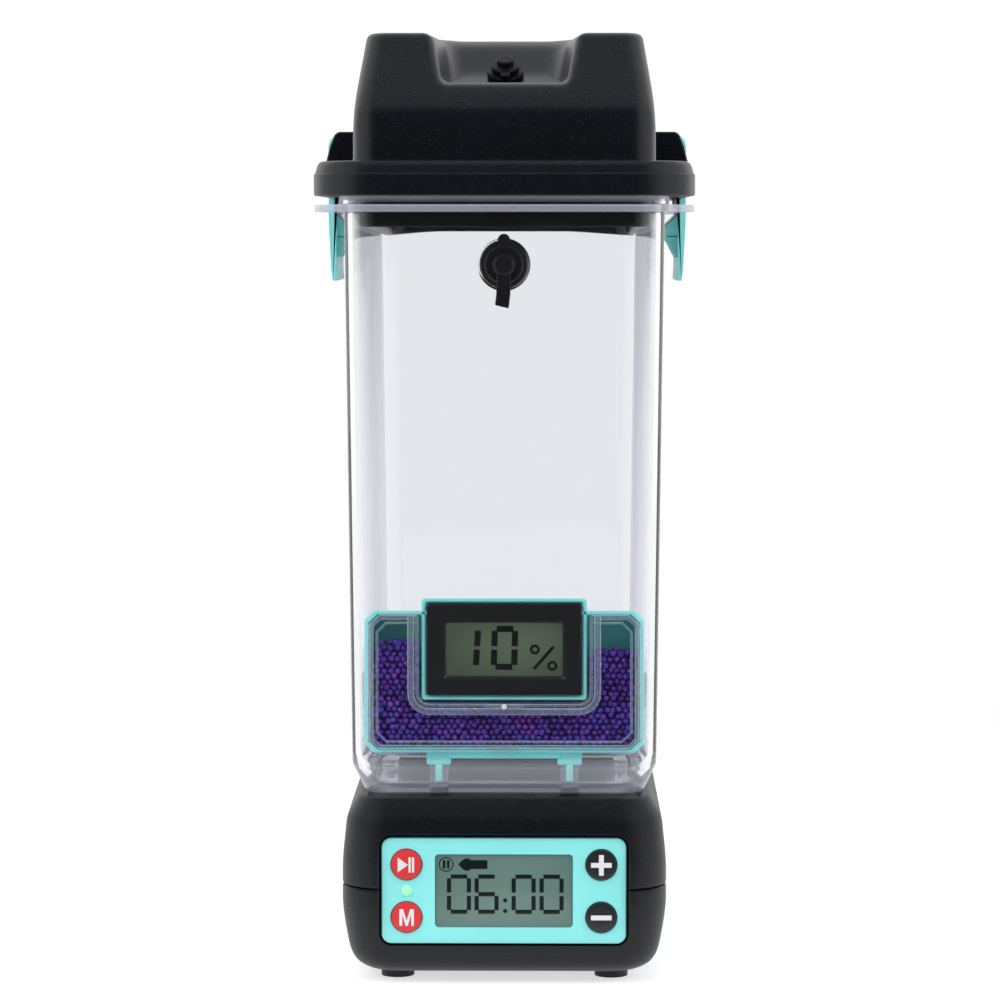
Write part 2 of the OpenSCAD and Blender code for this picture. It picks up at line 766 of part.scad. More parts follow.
module air_duct() color([0.82, 0.82, 0.8]) difference() {
    translate([0, 0, fan_z]) linear_extrude(fan_h) duct_plan(0);
    translate([0, 0, fan_z + duct_wall]) linear_extrude(fan_h - 2 * duct_wall) duct_plan(duct_wall);
    translate([port_x, port_y, fan_z + fan_h / 2]) cylinder(r = nozzle_r - nozzle_wall, h = fan_h);
    x_rod(probe_r + press, probe_y, fan_z + fan_h / 2, port_x, port_x + reach);
}

module heater_frame() color([0.85, 0.8, 0.68]) {
    w = duct_w - 2 * duct_wall - 0.4;
    h = fan_h - 2 * duct_wall;
    translate([port_x - w / 2, heater_y - heater_l / 2, fan_z + duct_wall]) difference() {
        cube([w, heater_l, h]);
        translate([2, -1, 2]) cube([w - 4, heater_l + 2, h - 4]);
    }
}

module heater_fins() color([0.8, 0.81, 0.83]) {
    w = duct_w - 2 * duct_wall - 4.4;
    h = fan_h - 2 * duct_wall - 4;
    pitch = w / heater_fin_count;
    translate([port_x - w / 2, heater_y - heater_l / 2 + 1, fan_z + duct_wall + 2]) {
        for (i = [0:heater_fin_count - 1]) translate([(i + 0.5) * pitch - 0.3, 0, 0])
            cube([0.6, heater_l - 2, h]);
        translate([0, 0, h / 2 - 1.2]) cube([w, heater_l - 2, 2.4]);
    }
}

module temperature_probe() color(steel) {
    x_rod(probe_r, probe_y, fan_z + fan_h / 2, port_x + duct_w / 2 - 6, port_x + duct_w / 2 + 2);
    translate([port_x + duct_w / 2 - 6, probe_y, fan_z + fan_h / 2]) sphere(probe_r);
}

module port_gaskets() color(dark_rubber)
    for (x = [-1, 1]) translate([x * port_x, port_y, 0])
        ring(nozzle_r + 4, nozzle_r + 1, deck_z, gasket_h);

module power_socket() color([0.12, 0.12, 0.13]) difference() {
    union() {
        block([-socket_w / 2, socket_front_y, socket_z - socket_h / 2],
              [socket_w / 2, socket_back_y, socket_z + socket_h / 2]);
        y_rod(socket_r - press, 0, socket_z, socket_back_y - 1, socket_mouth_y);
    }
    difference() {
        y_rod(plug_well_r, 0, socket_z, socket_front_y + 4, socket_mouth_y + 1);
        y_rod(plug_pin_r, 0, socket_z, socket_front_y + 3, socket_mouth_y - 1.5);
    }
}

module rubber_feet() color(dark_rubber)
    for (f = foot_spots) translate([f[0], f[1], 0]) cylinder(r = foot_r, h = foot_h + foot_recess);

module dock_screws() color(steel)
    for (s = screw_spots) translate([s[0], s[1], 0]) {
        difference() {
            translate([0, 0, screw_seat_z - 2.2]) cylinder(r = screw_head_r, h = 2.2);
            // Six-sided key socket
            translate([0, 0, screw_seat_z - 3]) cylinder(r = 1.3, h = 2, $fn = 6);
        }
        translate([0, 0, screw_seat_z - skin]) cylinder(r = screw_r, h = screw_tip_z - screw_seat_z);
    }

// ---------- Tub ----------

module tub_body(off) {
    foot_r = tub_corner_r - off;
    loft([
        [tub_z + (off > 0 ? tub_floor : 0), tub_w_at(tub_z) - 2 * tub_foot_in - 2 * off,
            tub_l_at(tub_z) - 2 * tub_foot_in - 2 * off, foot_r - 1],
        [tub_z + tub_foot_h, tub_w_at(tub_z + tub_foot_h) - 2 * off,
            tub_l_at(tub_z + tub_foot_h) - 2 * off, foot_r],
        [flange_top_z + (off > 0 ? 1 : 0), tub_w_at(flange_top_z) - 2 * off,
            tub_l_at(flange_top_z) - 2 * off, foot_r]
    ]);
}

module tub() color(clear_plastic) difference() {
    union() {
        tub_body(0);
        // Flange with a rounded edge
        loft([
            [flange_z, flange_w - 1.4, flange_l - 1.4, flange_corner_r - 0.7],
            [flange_z + flange_t / 2, flange_w, flange_l, flange_corner_r],
            [flange_top_z - skin, flange_w - 1.4, flange_l - 1.4, flange_corner_r - 0.7]
        ]);
        slab(rim_w, rim_l, tub_corner_r + rim_out, flange_z + 1, rim_top_z - flange_z - 1);
        // Lips under the flange that the latches hook on
        for (s = [0, 1]) mirror([s, 0, 0]) along_y(-hook_half - 1, hook_half + 1) polygon([
            [tub_w / 2 - 1, lip_z], [lip_x - lip_slope, lip_z], [lip_x, lip_z + lip_slope],
            [lip_x, flange_z + 1], [tub_w / 2 - 1, flange_z + 1]
        ]);
        y_rod(port_boss_r, 0, front_port_z, port_wall_out - port_boss_h, port_wall_out + 1.5);
        for (x = [-1, 1], y = [-1, 1])
            translate([x * (tub_w / 2 - 14), y * (tub_l / 2 - 18), tub_z - tub_pad_h])
                cylinder(r = 4, h = tub_pad_h + 1);
    }
    tub_body(tub_wall);
    slab(rim_w - 2 * rim_wall, rim_l - 2 * rim_wall, tub_corner_r + rim_out - rim_wall, flange_top_z,
        rim_h + 1);
    // Recess in the flange where each latch passes
    for (s = [0, 1]) mirror([s, 0, 0])
        block([lip_x, -latch_w / 2 - 1.5, flange_z - 1],
            [lip_x + reach, latch_w / 2 + 1.5, flange_top_z + 1]);
    y_rod(port_hole_r, 0, front_port_z, port_wall_out - reach / 2, port_wall_out + reach / 2);
    for (x = [-1, 1]) translate([x * port_x, port_y, tub_z - 2])
        cylinder(r = valve_hole_r, h = tub_floor + 3);
}

// Clear insert on the tub's floor: axle cheeks for the rollers and the forked posts of the desiccant box
module roller_cradle() color(clear_plastic) {
    front = spool_y - roller_span - cheek_w / 2;
    rear = spool_y + roller_span + cheek_w / 2;
    difference() {
        union() {
            block([-cradle_half, front, tub_floor_z], [cradle_half, rear, tub_floor_z + cradle_t]);
            for (x = [-1, 1], y = [-1, 1])
                translate([x * (cradle_half - cradle_wall_t / 2), spool_y + y * roller_span, 0]) {
                block([-cradle_wall_t / 2, -cheek_w / 2, tub_floor_z],
                    [cradle_wall_t / 2, cheek_w / 2, roller_z]);
                x_rod(cheek_w / 2, 0, roller_z, -cradle_wall_t / 2, cradle_wall_t / 2);
            }
            // Arms that reach forward to the posts
            for (x = [-1, 1]) {
                block([x * leg_x - post_w / 2, leg_y, tub_floor_z],
                    [x * leg_x + post_w / 2, front + 2, tub_floor_z + cradle_t / 2]);
                block([x * leg_x - post_w / 2, leg_y - post_l / 2, tub_floor_z],
                      [x * leg_x + post_w / 2, leg_y + post_l / 2, tub_floor_z + post_top_up]);
            }
        }
        block([-cradle_half + 6, front + cheek_w + 2, tub_floor_z - 1],
            [cradle_half - 6, rear - cheek_w - 2, tub_floor_z + cradle_t + 1]);
        for (x = [-1, 1]) {
            block([x * leg_x - post_slot_w / 2, leg_y - post_l, tub_floor_z + 1],
                  [x * leg_x + post_slot_w / 2, leg_y + post_l, tub_floor_z + post_top_up + 1]);
            for (y = [-1, 1])
                x_rod(axle_r + press, spool_y + y * roller_span, roller_z,
                    x * cradle_half - cradle_wall_t - 1, x * cradle_half + cradle_wall_t + 1);
        }
    }
}

module roller_axles() color(steel)
    for (y = [-1, 1]) x_rod(axle_r, spool_y + y * roller_span, roller_z, -axle_half, axle_half);

// Hollow roller with a bearing seat in each end
module spool_roller(y) {
    difference() {
        x_rod(roller_r, y, roller_z, -roller_l / 2, roller_l / 2);
        x_rod(bearing_r - 0.6, y, roller_z, -roller_l, roller_l);
        for (x = [-1, 1])
            x_rod(bearing_r + press, y, roller_z, x * roller_l / 2 - bearing_w,
                x * roller_l / 2 + bearing_w);
    }
}
module front_roller() color([0.2, 0.21, 0.23]) spool_roller(spool_y - roller_span);
module rear_roller() color([0.2, 0.21, 0.23]) spool_roller(spool_y + roller_span);

module bearing_pair(y) {
    for (x = [-1, 1]) difference() {
        x_rod(bearing_r, y, roller_z, x * (roller_l / 2 - bearing_w / 2) - bearing_w / 2 + press,
            x * (roller_l / 2 - bearing_w / 2) + bearing_w / 2 - press);
        x_rod(axle_r + run, y, roller_z, -roller_l, roller_l);
    }
}
module front_roller_bearings() color(steel) bearing_pair(spool_y - roller_span);
module rear_roller_bearings() color(steel) bearing_pair(spool_y + roller_span);

// Open cages over the two valve openings, each with a guide for the valve's stem
module valve_cages() color(clear_plastic)
    for (x = [-1, 1]) translate([x * port_x, port_y, 0]) difference() {
        union() {
            ring(cage_r, cage_r - 1.6, tub_floor_z, 1.6);
            for (a = [0, 90, 180, 270]) rotate(a + 45)
                translate([cage_r - 1.6, -2, tub_floor_z]) cube([1.6, 4, cage_top_z - tub_floor_z]);
            translate([0, 0, cage_top_z - cage_t]) cylinder(r = 4.5, h = cage_t);
            for (a = [0, 90]) rotate(a + 45)
                translate([-cage_r, -2, cage_top_z - cage_t]) cube([2 * cage_r, 4, cage_t]);
        }
        translate([0, 0, cage_top_z - cage_t - 1]) cylinder(r = valve_stem_r + run, h = cage_t + 2);
    }

// Valve poppet: a disc with a stem, and a foot that the dock's post pushes up
module poppet(x) translate([x, port_y, valve_open_z]) {
    translate([0, 0, valve_seal_t]) cylinder(r = valve_disc_r, h = valve_disc_t);
    cylinder(r = valve_hole_r - 2, h = valve_seal_t + skin);
    translate([0, 0, valve_seal_t + valve_disc_t - skin])
        cylinder(r = valve_stem_r,
            h = cage_top_z - valve_open_z - valve_seal_t - valve_disc_t + valve_travel + 1);
}
module supply_valve() color([0.9, 0.9, 0.88]) poppet(port_x);
module return_valve() color([0.9, 0.9, 0.88]) poppet(-port_x);

module poppet_seal(x) translate([x, port_y, 0])
    ring(valve_disc_r, valve_hole_r - 2 + press, valve_open_z, valve_seal_t - press);
module supply_valve_seal() color(dark_rubber) poppet_seal(port_x);
module return_valve_seal() color(dark_rubber) poppet_seal(-port_x);

// Coil spring between the valve's disc and its cage
module coil_spring(x) {
    steps = 16 * spring_turns;
    low = valve_open_z + valve_seal_t + valve_disc_t + spring_wire_r + 0.1;
    h = cage_top_z - cage_t - spring_wire_r - 0.1 - low;
    translate([x, port_y, low]) tube([for (i = [0:steps])
        let (a = 360 * spring_turns * i / steps)
        [for (k = [0:7]) let (rr = spring_r + spring_wire_r * cos(45 * k))
            [rr * cos(a), rr * sin(a), h * i / steps + spring_wire_r * sin(45 * k)]]]);
}
module supply_valve_spring() color(steel) coil_spring(port_x);
module return_valve_spring() color(steel) coil_spring(-port_x);

module front_port_fitting() color(dark_plastic) difference() {
    union() {
        y_rod(port_hole_r - press, 0, front_port_z, port_wall_out - port_boss_h + 0.1, port_wall_in + 1);
        y_rod(fitting_flange_r, 0, front_port_z, port_wall_in + 0.15, port_wall_in + 1.7);
    }
    y_rod(filament_bore_r, 0, front_port_z, port_wall_out - reach / 2, port_wall_out + reach / 2);
}

// Push-in stopper: cap, knob, stem and the pull strap that hangs from its knob
module front_port_plug() color(dark_rubber) {
    cap_back = port_wall_out - port_boss_h - gap;
    y_rod(plug_cap_r, 0, front_port_z, cap_back - 2, cap_back);
    y_rod(plug_cap_r - 1.6, 0, front_port_z, cap_back - 2.5, cap_back - 1);
    y_rod(knob_r, 0, front_port_z, cap_back - 4.6, cap_back - 2);
    y_rod(filament_bore_r - run, 0, front_port_z, cap_back - 1, cap_back - 1 + plug_stem_l);
    block([-2.1, cap_back - 4, front_port_z - 13.5], [2.1, cap_back - 2.2, front_port_z]);
    y_rod(1.9, 0, front_port_z + plug_cap_r + 0.2, cap_back - 2.2, cap_back);
}

// ---------- Desiccant box ----------

// Chamfered front outline of the tray, drawn in by off
module tray_outline(off) {
    w = tray_w / 2 - off;
    low = tray_z + off;
    high = tray_top_z - off;
    c = tray_chamfer;
    polygon([
        [-w + c, low], [w - c, low], [w, low + c], [w, high - c],
        [w - c, high], [-w + c, high], [-w, high - c], [-w, low + c]
    ]);
}

// Upright prism that rounds the tray's corners in plan
module tray_plan(off, y0, y1) {
    translate([0, (y0 + y1) / 2, tray_z - reach]) linear_extrude(far)
        rounded_rect(tray_w - 2 * off, y1 - y0, tray_plan_r - off / 2);
}

module meter_opening(off) {
    block([-meter_frame_w / 2 + off, cover_front - reach, meter_frame_z + off],
        [meter_frame_w / 2 - off, far, meter_frame_top_z - off]);
}

module desiccant_tray() color(turquoise) {
    difference() {
        union() {
            intersection() {
                along_y(tray_front, tray_back) tray_outline(0);
                tray_plan(0, cover_front, tray_back);
            }
            block([-meter_frame_w / 2, tray_front - 0.8, meter_frame_z],
                [meter_frame_w / 2, tray_back - 2, meter_frame_top_z]);
        }
        // Bead chamber, open at the front
        difference() {
            intersection() {
                along_y(tray_front - 1, tray_back - tray_wall) tray_outline(tray_wall);
                tray_plan(tray_wall, cover_front - reach, tray_back - tray_wall);
            }
            meter_opening(0);
        }
        // Pocket of the hygrometer
        block([-meter_w / 2 - press, tray_front - 2, meter_z - meter_h / 2 - press],
              [meter_w / 2 + press, meter_pocket_back, meter_z + meter_h / 2 + press]);
        // Hollow behind the pocket
        block([-meter_frame_w / 2 + tray_wall, meter_pocket_back + tray_wall, meter_frame_z + tray_wall],
              [meter_frame_w / 2 - tray_wall, tray_back + 1, meter_frame_top_z - tray_wall]);
        // Slots in the back that let the air reach the beads
        for (x = [-5:5], z = [0:2])
            block([x * 7 - 2.2, tray_back - tray_wall - 1, tray_z + 4 + z * 4.4],
                [x * 7 + 2.2, tray_back + 1, tray_z + 5.6 + z * 4.4]);
    }
    // Legs with a tongue that drops into the forked posts
    for (x = [-1, 1]) translate([x * leg_x, leg_y, 0]) {
        block([-leg_w / 2, -leg_l / 2, tub_floor_z + post_top_up + gap],
            [leg_w / 2, leg_l / 2, tray_z + tray_wall / 2]);
        block([-tongue_w / 2, -leg_l / 2, tub_floor_z + 1 + gap], [tongue_w / 2, leg_l / 2, tray_z]);
    }
}

module desiccant_cover() color(clear_plastic) difference() {
    intersection() {
        union() {
            along_y(cover_front, tray_front - press) tray_outline(1.2);
            // Rib that locates the cover inside the chamber
            along_y(tray_front - 0.5, tray_front + 1.4) difference() {
                tray_outline(tray_wall + 0.15);
                tray_outline(tray_wall + 1.35);
            }
        }
        tray_plan(0, cover_front, tray_back);
    }
    meter_opening(-0.15);
}

module silica_beads() color([0.30, 0.12, 0.55]) difference() {
    intersection() {
        along_y(tray_front + 1.6, tray_back - tray_wall - bead_gap) difference() {
            tray_outline(tray_wall + 1.6);
            translate([-tray_w, tray_top_z - 9]) square([2 * tray_w, 20]);
        }
        tray_plan(tray_wall + 1.2, cover_front, tray_back - tray_wall);
    }
    meter_opening(-bead_gap);
}

module hygrometer_case() color(dark_plastic) difference() {
    union() {
        front_plate(meter_w, meter_h, 0.8, meter_z, meter_face, tray_front + 0.2);
        front_plate(meter_w - 2 * meter_body_in, meter_h - 2 * meter_body_in, 0.8, meter_z,
            meter_face + 1, meter_face + meter_depth);
    }
    front_plate(meter_screen_w, meter_screen_h, 0.6, meter_z, meter_face - 1, meter_face + 3);
    front_plate(meter_w - 6, meter_h - 6, 0.8, meter_z, meter_face + 3 - skin,
        meter_face + meter_depth - 1.5);
}

module hygrometer_display() color(screen_grey)
    front_plate(meter_screen_w - 2 * press, meter_screen_h - 2 * press, 0.6, meter_z, meter_face + 0.7,
        meter_face + 3);

module hygrometer_board() color(board_green)
    front_plate(meter_w - 6.2, meter_h - 6.2, 0.8, meter_z, meter_face + 3 + press, meter_face + 4.6);

module button_cells() color(steel)
    for (x = [-1, 1]) y_rod(5.8, x * 8, meter_z, meter_face + 4.6 + press, meter_face + 4.6 + 5.4);

// ---------- Lid ----------

// Hollow that a hand grips, drawn larger by off for the wall round it
module notch(off) {
    front_y = -block_l / 2 - reach;
    back_w = notch_half_w - 3.2;
    hull() for (s = [-1, 1]) {
        translate([s * (notch_half_w + off - 1), front_y, notch_floor_z - off])
            cylinder(r = 1, h = 1, $fn = hull_fn);
        translate([s * (back_w - notch_fillet_r), notch_back_floor_y - notch_fillet_r, notch_floor_z - off])
            cylinder(r = notch_fillet_r + off, h = 1, $fn = hull_fn);
        translate([s * (notch_half_w + notch_open_more + off - 1), front_y, crown_top_z + 1])
            cylinder(r = 1, h = 1, $fn = hull_fn);
        translate([s * (back_w + notch_open_more - notch_fillet_r), notch_back_top_y - notch_fillet_r,
            crown_top_z + 1]) cylinder(r = notch_fillet_r + off, h = 1, $fn = hull_fn);
    }
}

module crown_body(off) {
    loft([
        [band_top_z - 1, block_w - 2 * off, block_l - 2 * off, block_corner_r - off / 2],
        [block_top_z, block_w - 2 * off - 0.4, block_l - 2 * off - 0.4, block_corner_r - off / 2 - 0.2],
        [crown_top_z - 2.4 - off, crown_w - 2 * off + 0.9, crown_l - 2 * off + 3.2,
            crown_corner_r - off / 2 + 0.4],
        [crown_top_z - 0.7 - off, crown_w - 2 * off - 1.0, crown_l - 2 * off + 0.6,
            crown_corner_r - off / 2],
        [crown_top_z - off - skin, crown_w - 2 * off - 4.4, crown_l - 2 * off - 3.4,
            crown_corner_r - off / 2 - 1.2]
    ]);
}

// Frame at the port on the notch's sloping back: +Z here points out of the port
module at_lid_port() {
    translate([0, lid_port_y, lid_port_z]) rotate([notch_tilt, 0, 0]) children();
}

module hinge_ear() {
    along_y(ear_in_y, ear_out_y) polygon([
        [block_w / 2 - 1, band_top_z - 1],
        [hinge_x + 3.7, band_top_z - 1],
        [hinge_x + 3.7, band_top_z + 1.5],
        [hinge_x + 2.4, hinge_z - 0.4],
        [hinge_x + 1, hinge_z + knuckle_r - 0.2],
        [hinge_x - 0.3, hinge_z + knuckle_r + 0.8],
        [block_w / 2 - 1, hinge_z + knuckle_r + 0.8]
    ]);
}

module lid_shell() color(dark_plastic) difference() {
    union() {
        difference() {
            crown_body(0);
            notch(0);
        }
        loft([
            [band_z, band_w - 1.4, band_l - 1.4, band_corner_r - 0.7],
            [band_z + 0.7, band_w, band_l, band_corner_r],
            [band_top_z - 4, band_w, band_l, band_corner_r],
            [band_top_z - 1.6, band_w - 1.6, band_l - 1.6, band_corner_r - 0.8],
            [band_top_z - 0.4, band_w - 4.6, band_l - 4.6, band_corner_r - 2.3],
            [band_top_z - skin, band_w - 8, band_l - 8, band_corner_r - 4]
        ]);
        slab(skirt_w, skirt_l, skirt_corner_r, skirt_z, skirt_h + 1);
        for (sx = [0, 1], sy = [0, 1]) mirror([sx, 0, 0]) mirror([0, sy, 0]) hinge_ear();
        at_lid_port() translate([0, 0, -lid_wall / 2])
            cylinder(r = lid_boss_r, h = lid_boss_h + lid_wall / 2);
    }
    // Room for the spool
    slab(skirt_inner_w, skirt_inner_l, skirt_corner_r - lid_wall / 2, skirt_z - 1,
        band_top_z - skirt_z + 1);
    difference() {
        crown_body(lid_wall);
        notch(lid_wall);
        at_lid_port() translate([0, 0, -lid_wall - 3]) cylinder(r = lid_fitting_r + 2, h = 8);
    }
    // Groove that takes the tub's rim and the seal
    difference() {
        slab(rim_w + 2 * seal_side, rim_l + 2 * seal_side, tub_corner_r + rim_out + seal_side, band_z - 1,
            seal_z + seal_t - band_z + 1);
        slab(rim_w - 2 * rim_wall - 2 * seal_side, rim_l - 2 * rim_wall - 2 * seal_side,
            tub_corner_r + rim_out - rim_wall - seal_side, band_z - 2, far);
    }
    // Relief under the band's overhang, kept off the hinges
    for (sy = [0, 1]) mirror([0, sy, 0]) intersection() {
        difference() {
            slab(band_w - 5, band_l - 5, band_corner_r - 2.5, band_z - 1, band_h - 2.2);
            slab(rim_w + 5, rim_l + 5, tub_corner_r + rim_out + 2.5, band_z - 2, far);
        }
        block([-far, ear_out_y + 2, 0], [far, far, far]);
    }
    for (sx = [0, 1]) mirror([sx, 0, 0])
        block([lip_x, -latch_w / 2 - ear_gap, band_z - 1],
            [lip_x + reach, latch_w / 2 + ear_gap, band_top_z + 1]);
    for (sx = [-1, 1]) y_rod(pin_r + press, sx * hinge_x, hinge_z, -ear_out_y + 1, ear_out_y - 1);
    at_lid_port() translate([0, 0, -reach / 2]) cylinder(r = lid_fitting_r, h = reach);
}

module lid_seal() color([0.35, 0.36, 0.38]) difference() {
    slab(rim_w + 2 * seal_side - 0.1, rim_l + 2 * seal_side - 0.1, tub_corner_r + rim_out + seal_side,
        seal_z, seal_t);
    slab(rim_w - 2 * rim_wall - 2 * seal_side + 0.1, rim_l - 2 * rim_wall - 2 * seal_side + 0.1,
        tub_corner_r + rim_out - rim_wall - seal_side, seal_z - 1, seal_t + 2);
}

module lid_port_fitting() color(dark_plastic) at_lid_port() difference() {
    union() {
        translate([0, 0, -lid_wall - 3.4])
            cylinder(r = lid_fitting_r - press, h = lid_boss_h + lid_wall + 3.4);
        translate([0, 0, -lid_wall - 4.6]) cylinder(r = lid_fitting_r + 2, h = 1.5);
    }
    translate([0, 0, -reach]) cylinder(r = filament_bore_r, h = 2 * reach);
}

module lid_port_plug() color(dark_rubber) at_lid_port() {
    translate([0, 0, lid_boss_h + gap]) cylinder(r = lid_plug_cap_r, h = 1.6);
    translate([0, 0, lid_boss_h + gap + 1]) cylinder(r = lid_plug_cap_r - 1.8, h = 2.8);
    translate([0, 0, -lid_wall - 1]) cylinder(r = filament_bore_r - run, h = lid_boss_h + lid_wall + 2.2);
    translate([-1.4, -lid_plug_cap_r - 2.2, lid_boss_h + gap + 0.4]) cube([2.8, 4, 1.2]);
}

module latch_pins() color(steel)
    for (sx = [-1, 1]) y_rod(pin_r, sx * hinge_x, hinge_z, -ear_out_y + 1.2, ear_out_y - 1.2);

// Latch on the right side: knuckle, plate, hook and the ribs under it
module latch() difference() {
    half = latch_w / 2;
    union() {
        y_rod(knuckle_r, hinge_x, hinge_z, -half, half);
        along_y(-half, half) polygon([
            [plate_in_x, hinge_z - 1],
            [hinge_x, hinge_z - knuckle_r / 2],
            [plate_out_x, hinge_z],
            [plate_out_x, flange_z - 3],
            [plate_out_x - 0.8, latch_tip_z + 4],
            [plate_out_x - 1.3, latch_tip_z],
            [plate_out_x - latch_t - 0.3, latch_tip_z],
            [plate_in_x, latch_tip_z + 5]
        ]);
        along_y(-hook_half, hook_half) polygon([
            [plate_in_x + 0.5, hook_top_z], [plate_in_x, hook_top_z], [hook_reach,
                hook_top_z - (plate_in_x - hook_reach)],
            [hook_reach, hook_foot_z], [plate_in_x + 0.5, hook_foot_z]
        ]);
        for (i = [0:rib_count - 1])
            translate([0, -hook_half + i * (2 * hook_half - rib_t) / (rib_count - 1), 0])
                along_y(0, rib_t) polygon([
                [hook_reach, hook_foot_z + 0.5], [plate_in_x + 0.5, hook_foot_z + 0.5], [plate_in_x + 0.5,
                    rib_foot_z]
            ]);
    }
    y_rod(pin_r + run, hinge_x, hinge_z, -half - 1, half + 1);
}
module right_latch() color(turquoise) latch();
module left_latch() color(turquoise) mirror([1, 0, 0]) latch();

lower_shell();
upper_shell();
control_panel();
clock_display();
display_module();
start_button();
mode_button();
plus_button();
minus_button();
status_light();
control_board();
ribbon_cable();
main_board();
power_leads();
fan_housing();
fan_impeller();
air_duct();
heater_frame();
heater_fins();
temperature_probe();
port_gaskets();
power_socket();
rubber_feet();
dock_screws();
tub();
roller_cradle();
roller_axles();
front_roller();
rear_roller();
front_roller_bearings();
rear_roller_bearings();
valve_cages();
supply_valve();
return_valve();
supply_valve_seal();
return_valve_seal();
supply_valve_spring();
return_valve_spring();
front_port_fitting();
front_port_plug();
desiccant_tray();
desiccant_cover();
silica_beads();
hygrometer_case();
hygrometer_display();
hygrometer_board();
button_cells();
lid_shell();
lid_seal();
lid_port_fitting();
lid_port_plug();
latch_pins();
left_latch();
right_latch();
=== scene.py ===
import json
from math import radians

import bpy
import numpy as np
from mathutils.geometry import tessellate_polygon
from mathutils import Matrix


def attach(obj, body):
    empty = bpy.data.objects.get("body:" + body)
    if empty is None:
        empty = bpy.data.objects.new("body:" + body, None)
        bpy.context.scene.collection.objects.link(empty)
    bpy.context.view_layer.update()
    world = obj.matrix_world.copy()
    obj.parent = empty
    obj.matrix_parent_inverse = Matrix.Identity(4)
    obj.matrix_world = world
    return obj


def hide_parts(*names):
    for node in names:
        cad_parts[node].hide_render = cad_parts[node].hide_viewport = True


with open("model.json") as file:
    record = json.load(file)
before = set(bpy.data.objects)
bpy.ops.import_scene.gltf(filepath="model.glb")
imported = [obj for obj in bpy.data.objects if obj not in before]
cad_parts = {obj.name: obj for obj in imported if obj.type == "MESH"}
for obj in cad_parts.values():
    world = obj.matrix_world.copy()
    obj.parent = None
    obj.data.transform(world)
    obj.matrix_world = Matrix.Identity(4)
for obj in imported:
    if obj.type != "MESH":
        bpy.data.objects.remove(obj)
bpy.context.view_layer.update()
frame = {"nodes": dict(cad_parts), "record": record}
cad = frame["nodes"]


# ---------- Camera, floor and light ----------
# A long lens about 1.13 m in front of the box, above its middle and looking slightly down.
# The box stands on a pale floor in front of a white backdrop, under three large soft lamps.
camera = bpy.data.objects.new("camera", bpy.data.cameras.new("camera"))
camera.data.lens, camera.data.sensor_width, camera.data.clip_end = 134.53, 36, 50
camera.location = (0.01242, -1.26149, 0.23371)
camera.rotation_euler = (radians(90 - 4.1454), 0, radians(0.6824))
bpy.context.scene.collection.objects.link(camera)
bpy.context.scene.camera = camera
bpy.context.scene.view_settings.view_transform = "Standard"


def add_nodes(material, **kinds):
    """Adds named nodes to a material's or a world's node tree. A kind may name its operation too."""
    for name, kind in kinds.items():
        kind, *operation = kind.split()
        node = material.node_tree.nodes.new("ShaderNode" + kind)
        node.name = name
        if operation:
            node.operation = operation[0]


def wire(material, *links):
    """Joins sockets in a material's or a world's node tree. A link reads "node.output > node.input"."""
    tree = material.node_tree
    find = lambda sockets, key: sockets[int(key)] if key.isdigit() else sockets[key]
    for link in links:
        (a, out), (b, into) = (end.split(".") for end in link.split(" > "))
        tree.links.new(find(tree.nodes[a].outputs, out), find(tree.nodes[b].inputs, into))


def dial(material, settings):
    """Sets the inputs of named nodes. A setting reads "node.input": value."""
    for target, value in settings.items():
        name, key = target.split(".")
        inputs = material.node_tree.nodes[name].inputs
        inputs[int(key) if key.isdigit() else key].default_value = value


def ramp(material, name, *stops):
    """Gives a colour ramp its stops, from the lowest up: a position with a colour or a grey level."""
    elements = material.node_tree.nodes[name].color_ramp.elements
    for _ in stops[2:]:
        elements.new(1)
    for element, (at, colour) in zip(elements, stops):
        element.position = at
        element.color = (colour, colour, colour, 1) if isinstance(colour, float) else (*colour, 1)


world = bpy.data.worlds.new("studio")
world.use_nodes = True
world.node_tree.nodes.clear()
add_nodes(world, path="LightPath", seen="Math MAXIMUM", plain="Math LESS_THAN", bounced="Math GREATER_THAN",
          backed="Math MULTIPLY", shone="Math MULTIPLY", toward="TexCoord", split="SeparateXYZ", depth="MapRange",
          room="ValToRGB", soft="Background", mirrored="Background", white="Background", sideways="Math ABSOLUTE",
          beside="MapRange", boxes="Background", lit="AddShader", open="MixShader", choose="MixShader",
          out="OutputWorld")
dial(world, {"soft.Color": (0.93, 0.95, 1.0, 1), "soft.Strength": 0.62, "white.Color": (1, 1, 1, 1),
             "depth.From Min": -1, "beside.From Min": 0.45, "beside.From Max": 0.7, "beside.To Max": 0.6})
# A shiny surface sees the dark room behind the camera, soft boxes to the sides and above, and the white backdrop.
ramp(world, "room", (0.0, (0.03, 0.03, 0.032)), (0.10, (0.03, 0.03, 0.0306)), (0.25, (0.40, 0.40, 0.408)),
     (0.74, (0.42, 0.42, 0.4284)), (0.82, (1, 1, 1.02)), (1.0, (1, 1, 1)))
wire(world, "path.Is Camera Ray > seen.0", "path.Is Transmission Ray > seen.1", "path.Diffuse Depth > plain.0",
     "seen.0 > backed.0", "plain.0 > backed.1", "path.Glossy Depth > bounced.0", "bounced.0 > shone.0",
     "plain.0 > shone.1", "toward.Generated > split.Vector", "split.Y > depth.Value", "depth.Result > room.Fac",
     "room.Color > mirrored.Color", "backed.0 > open.0", "soft.Background > open.1", "white.Background > open.2",
     "shone.0 > choose.0", "open.0 > choose.1", "split.X > sideways.0", "sideways.0 > beside.Value",
     "beside.Result > boxes.Strength", "mirrored.Background > lit.0", "boxes.Background > lit.1",
     "lit.0 > choose.2", "choose.0 > out.Surface")
bpy.context.scene.world = world

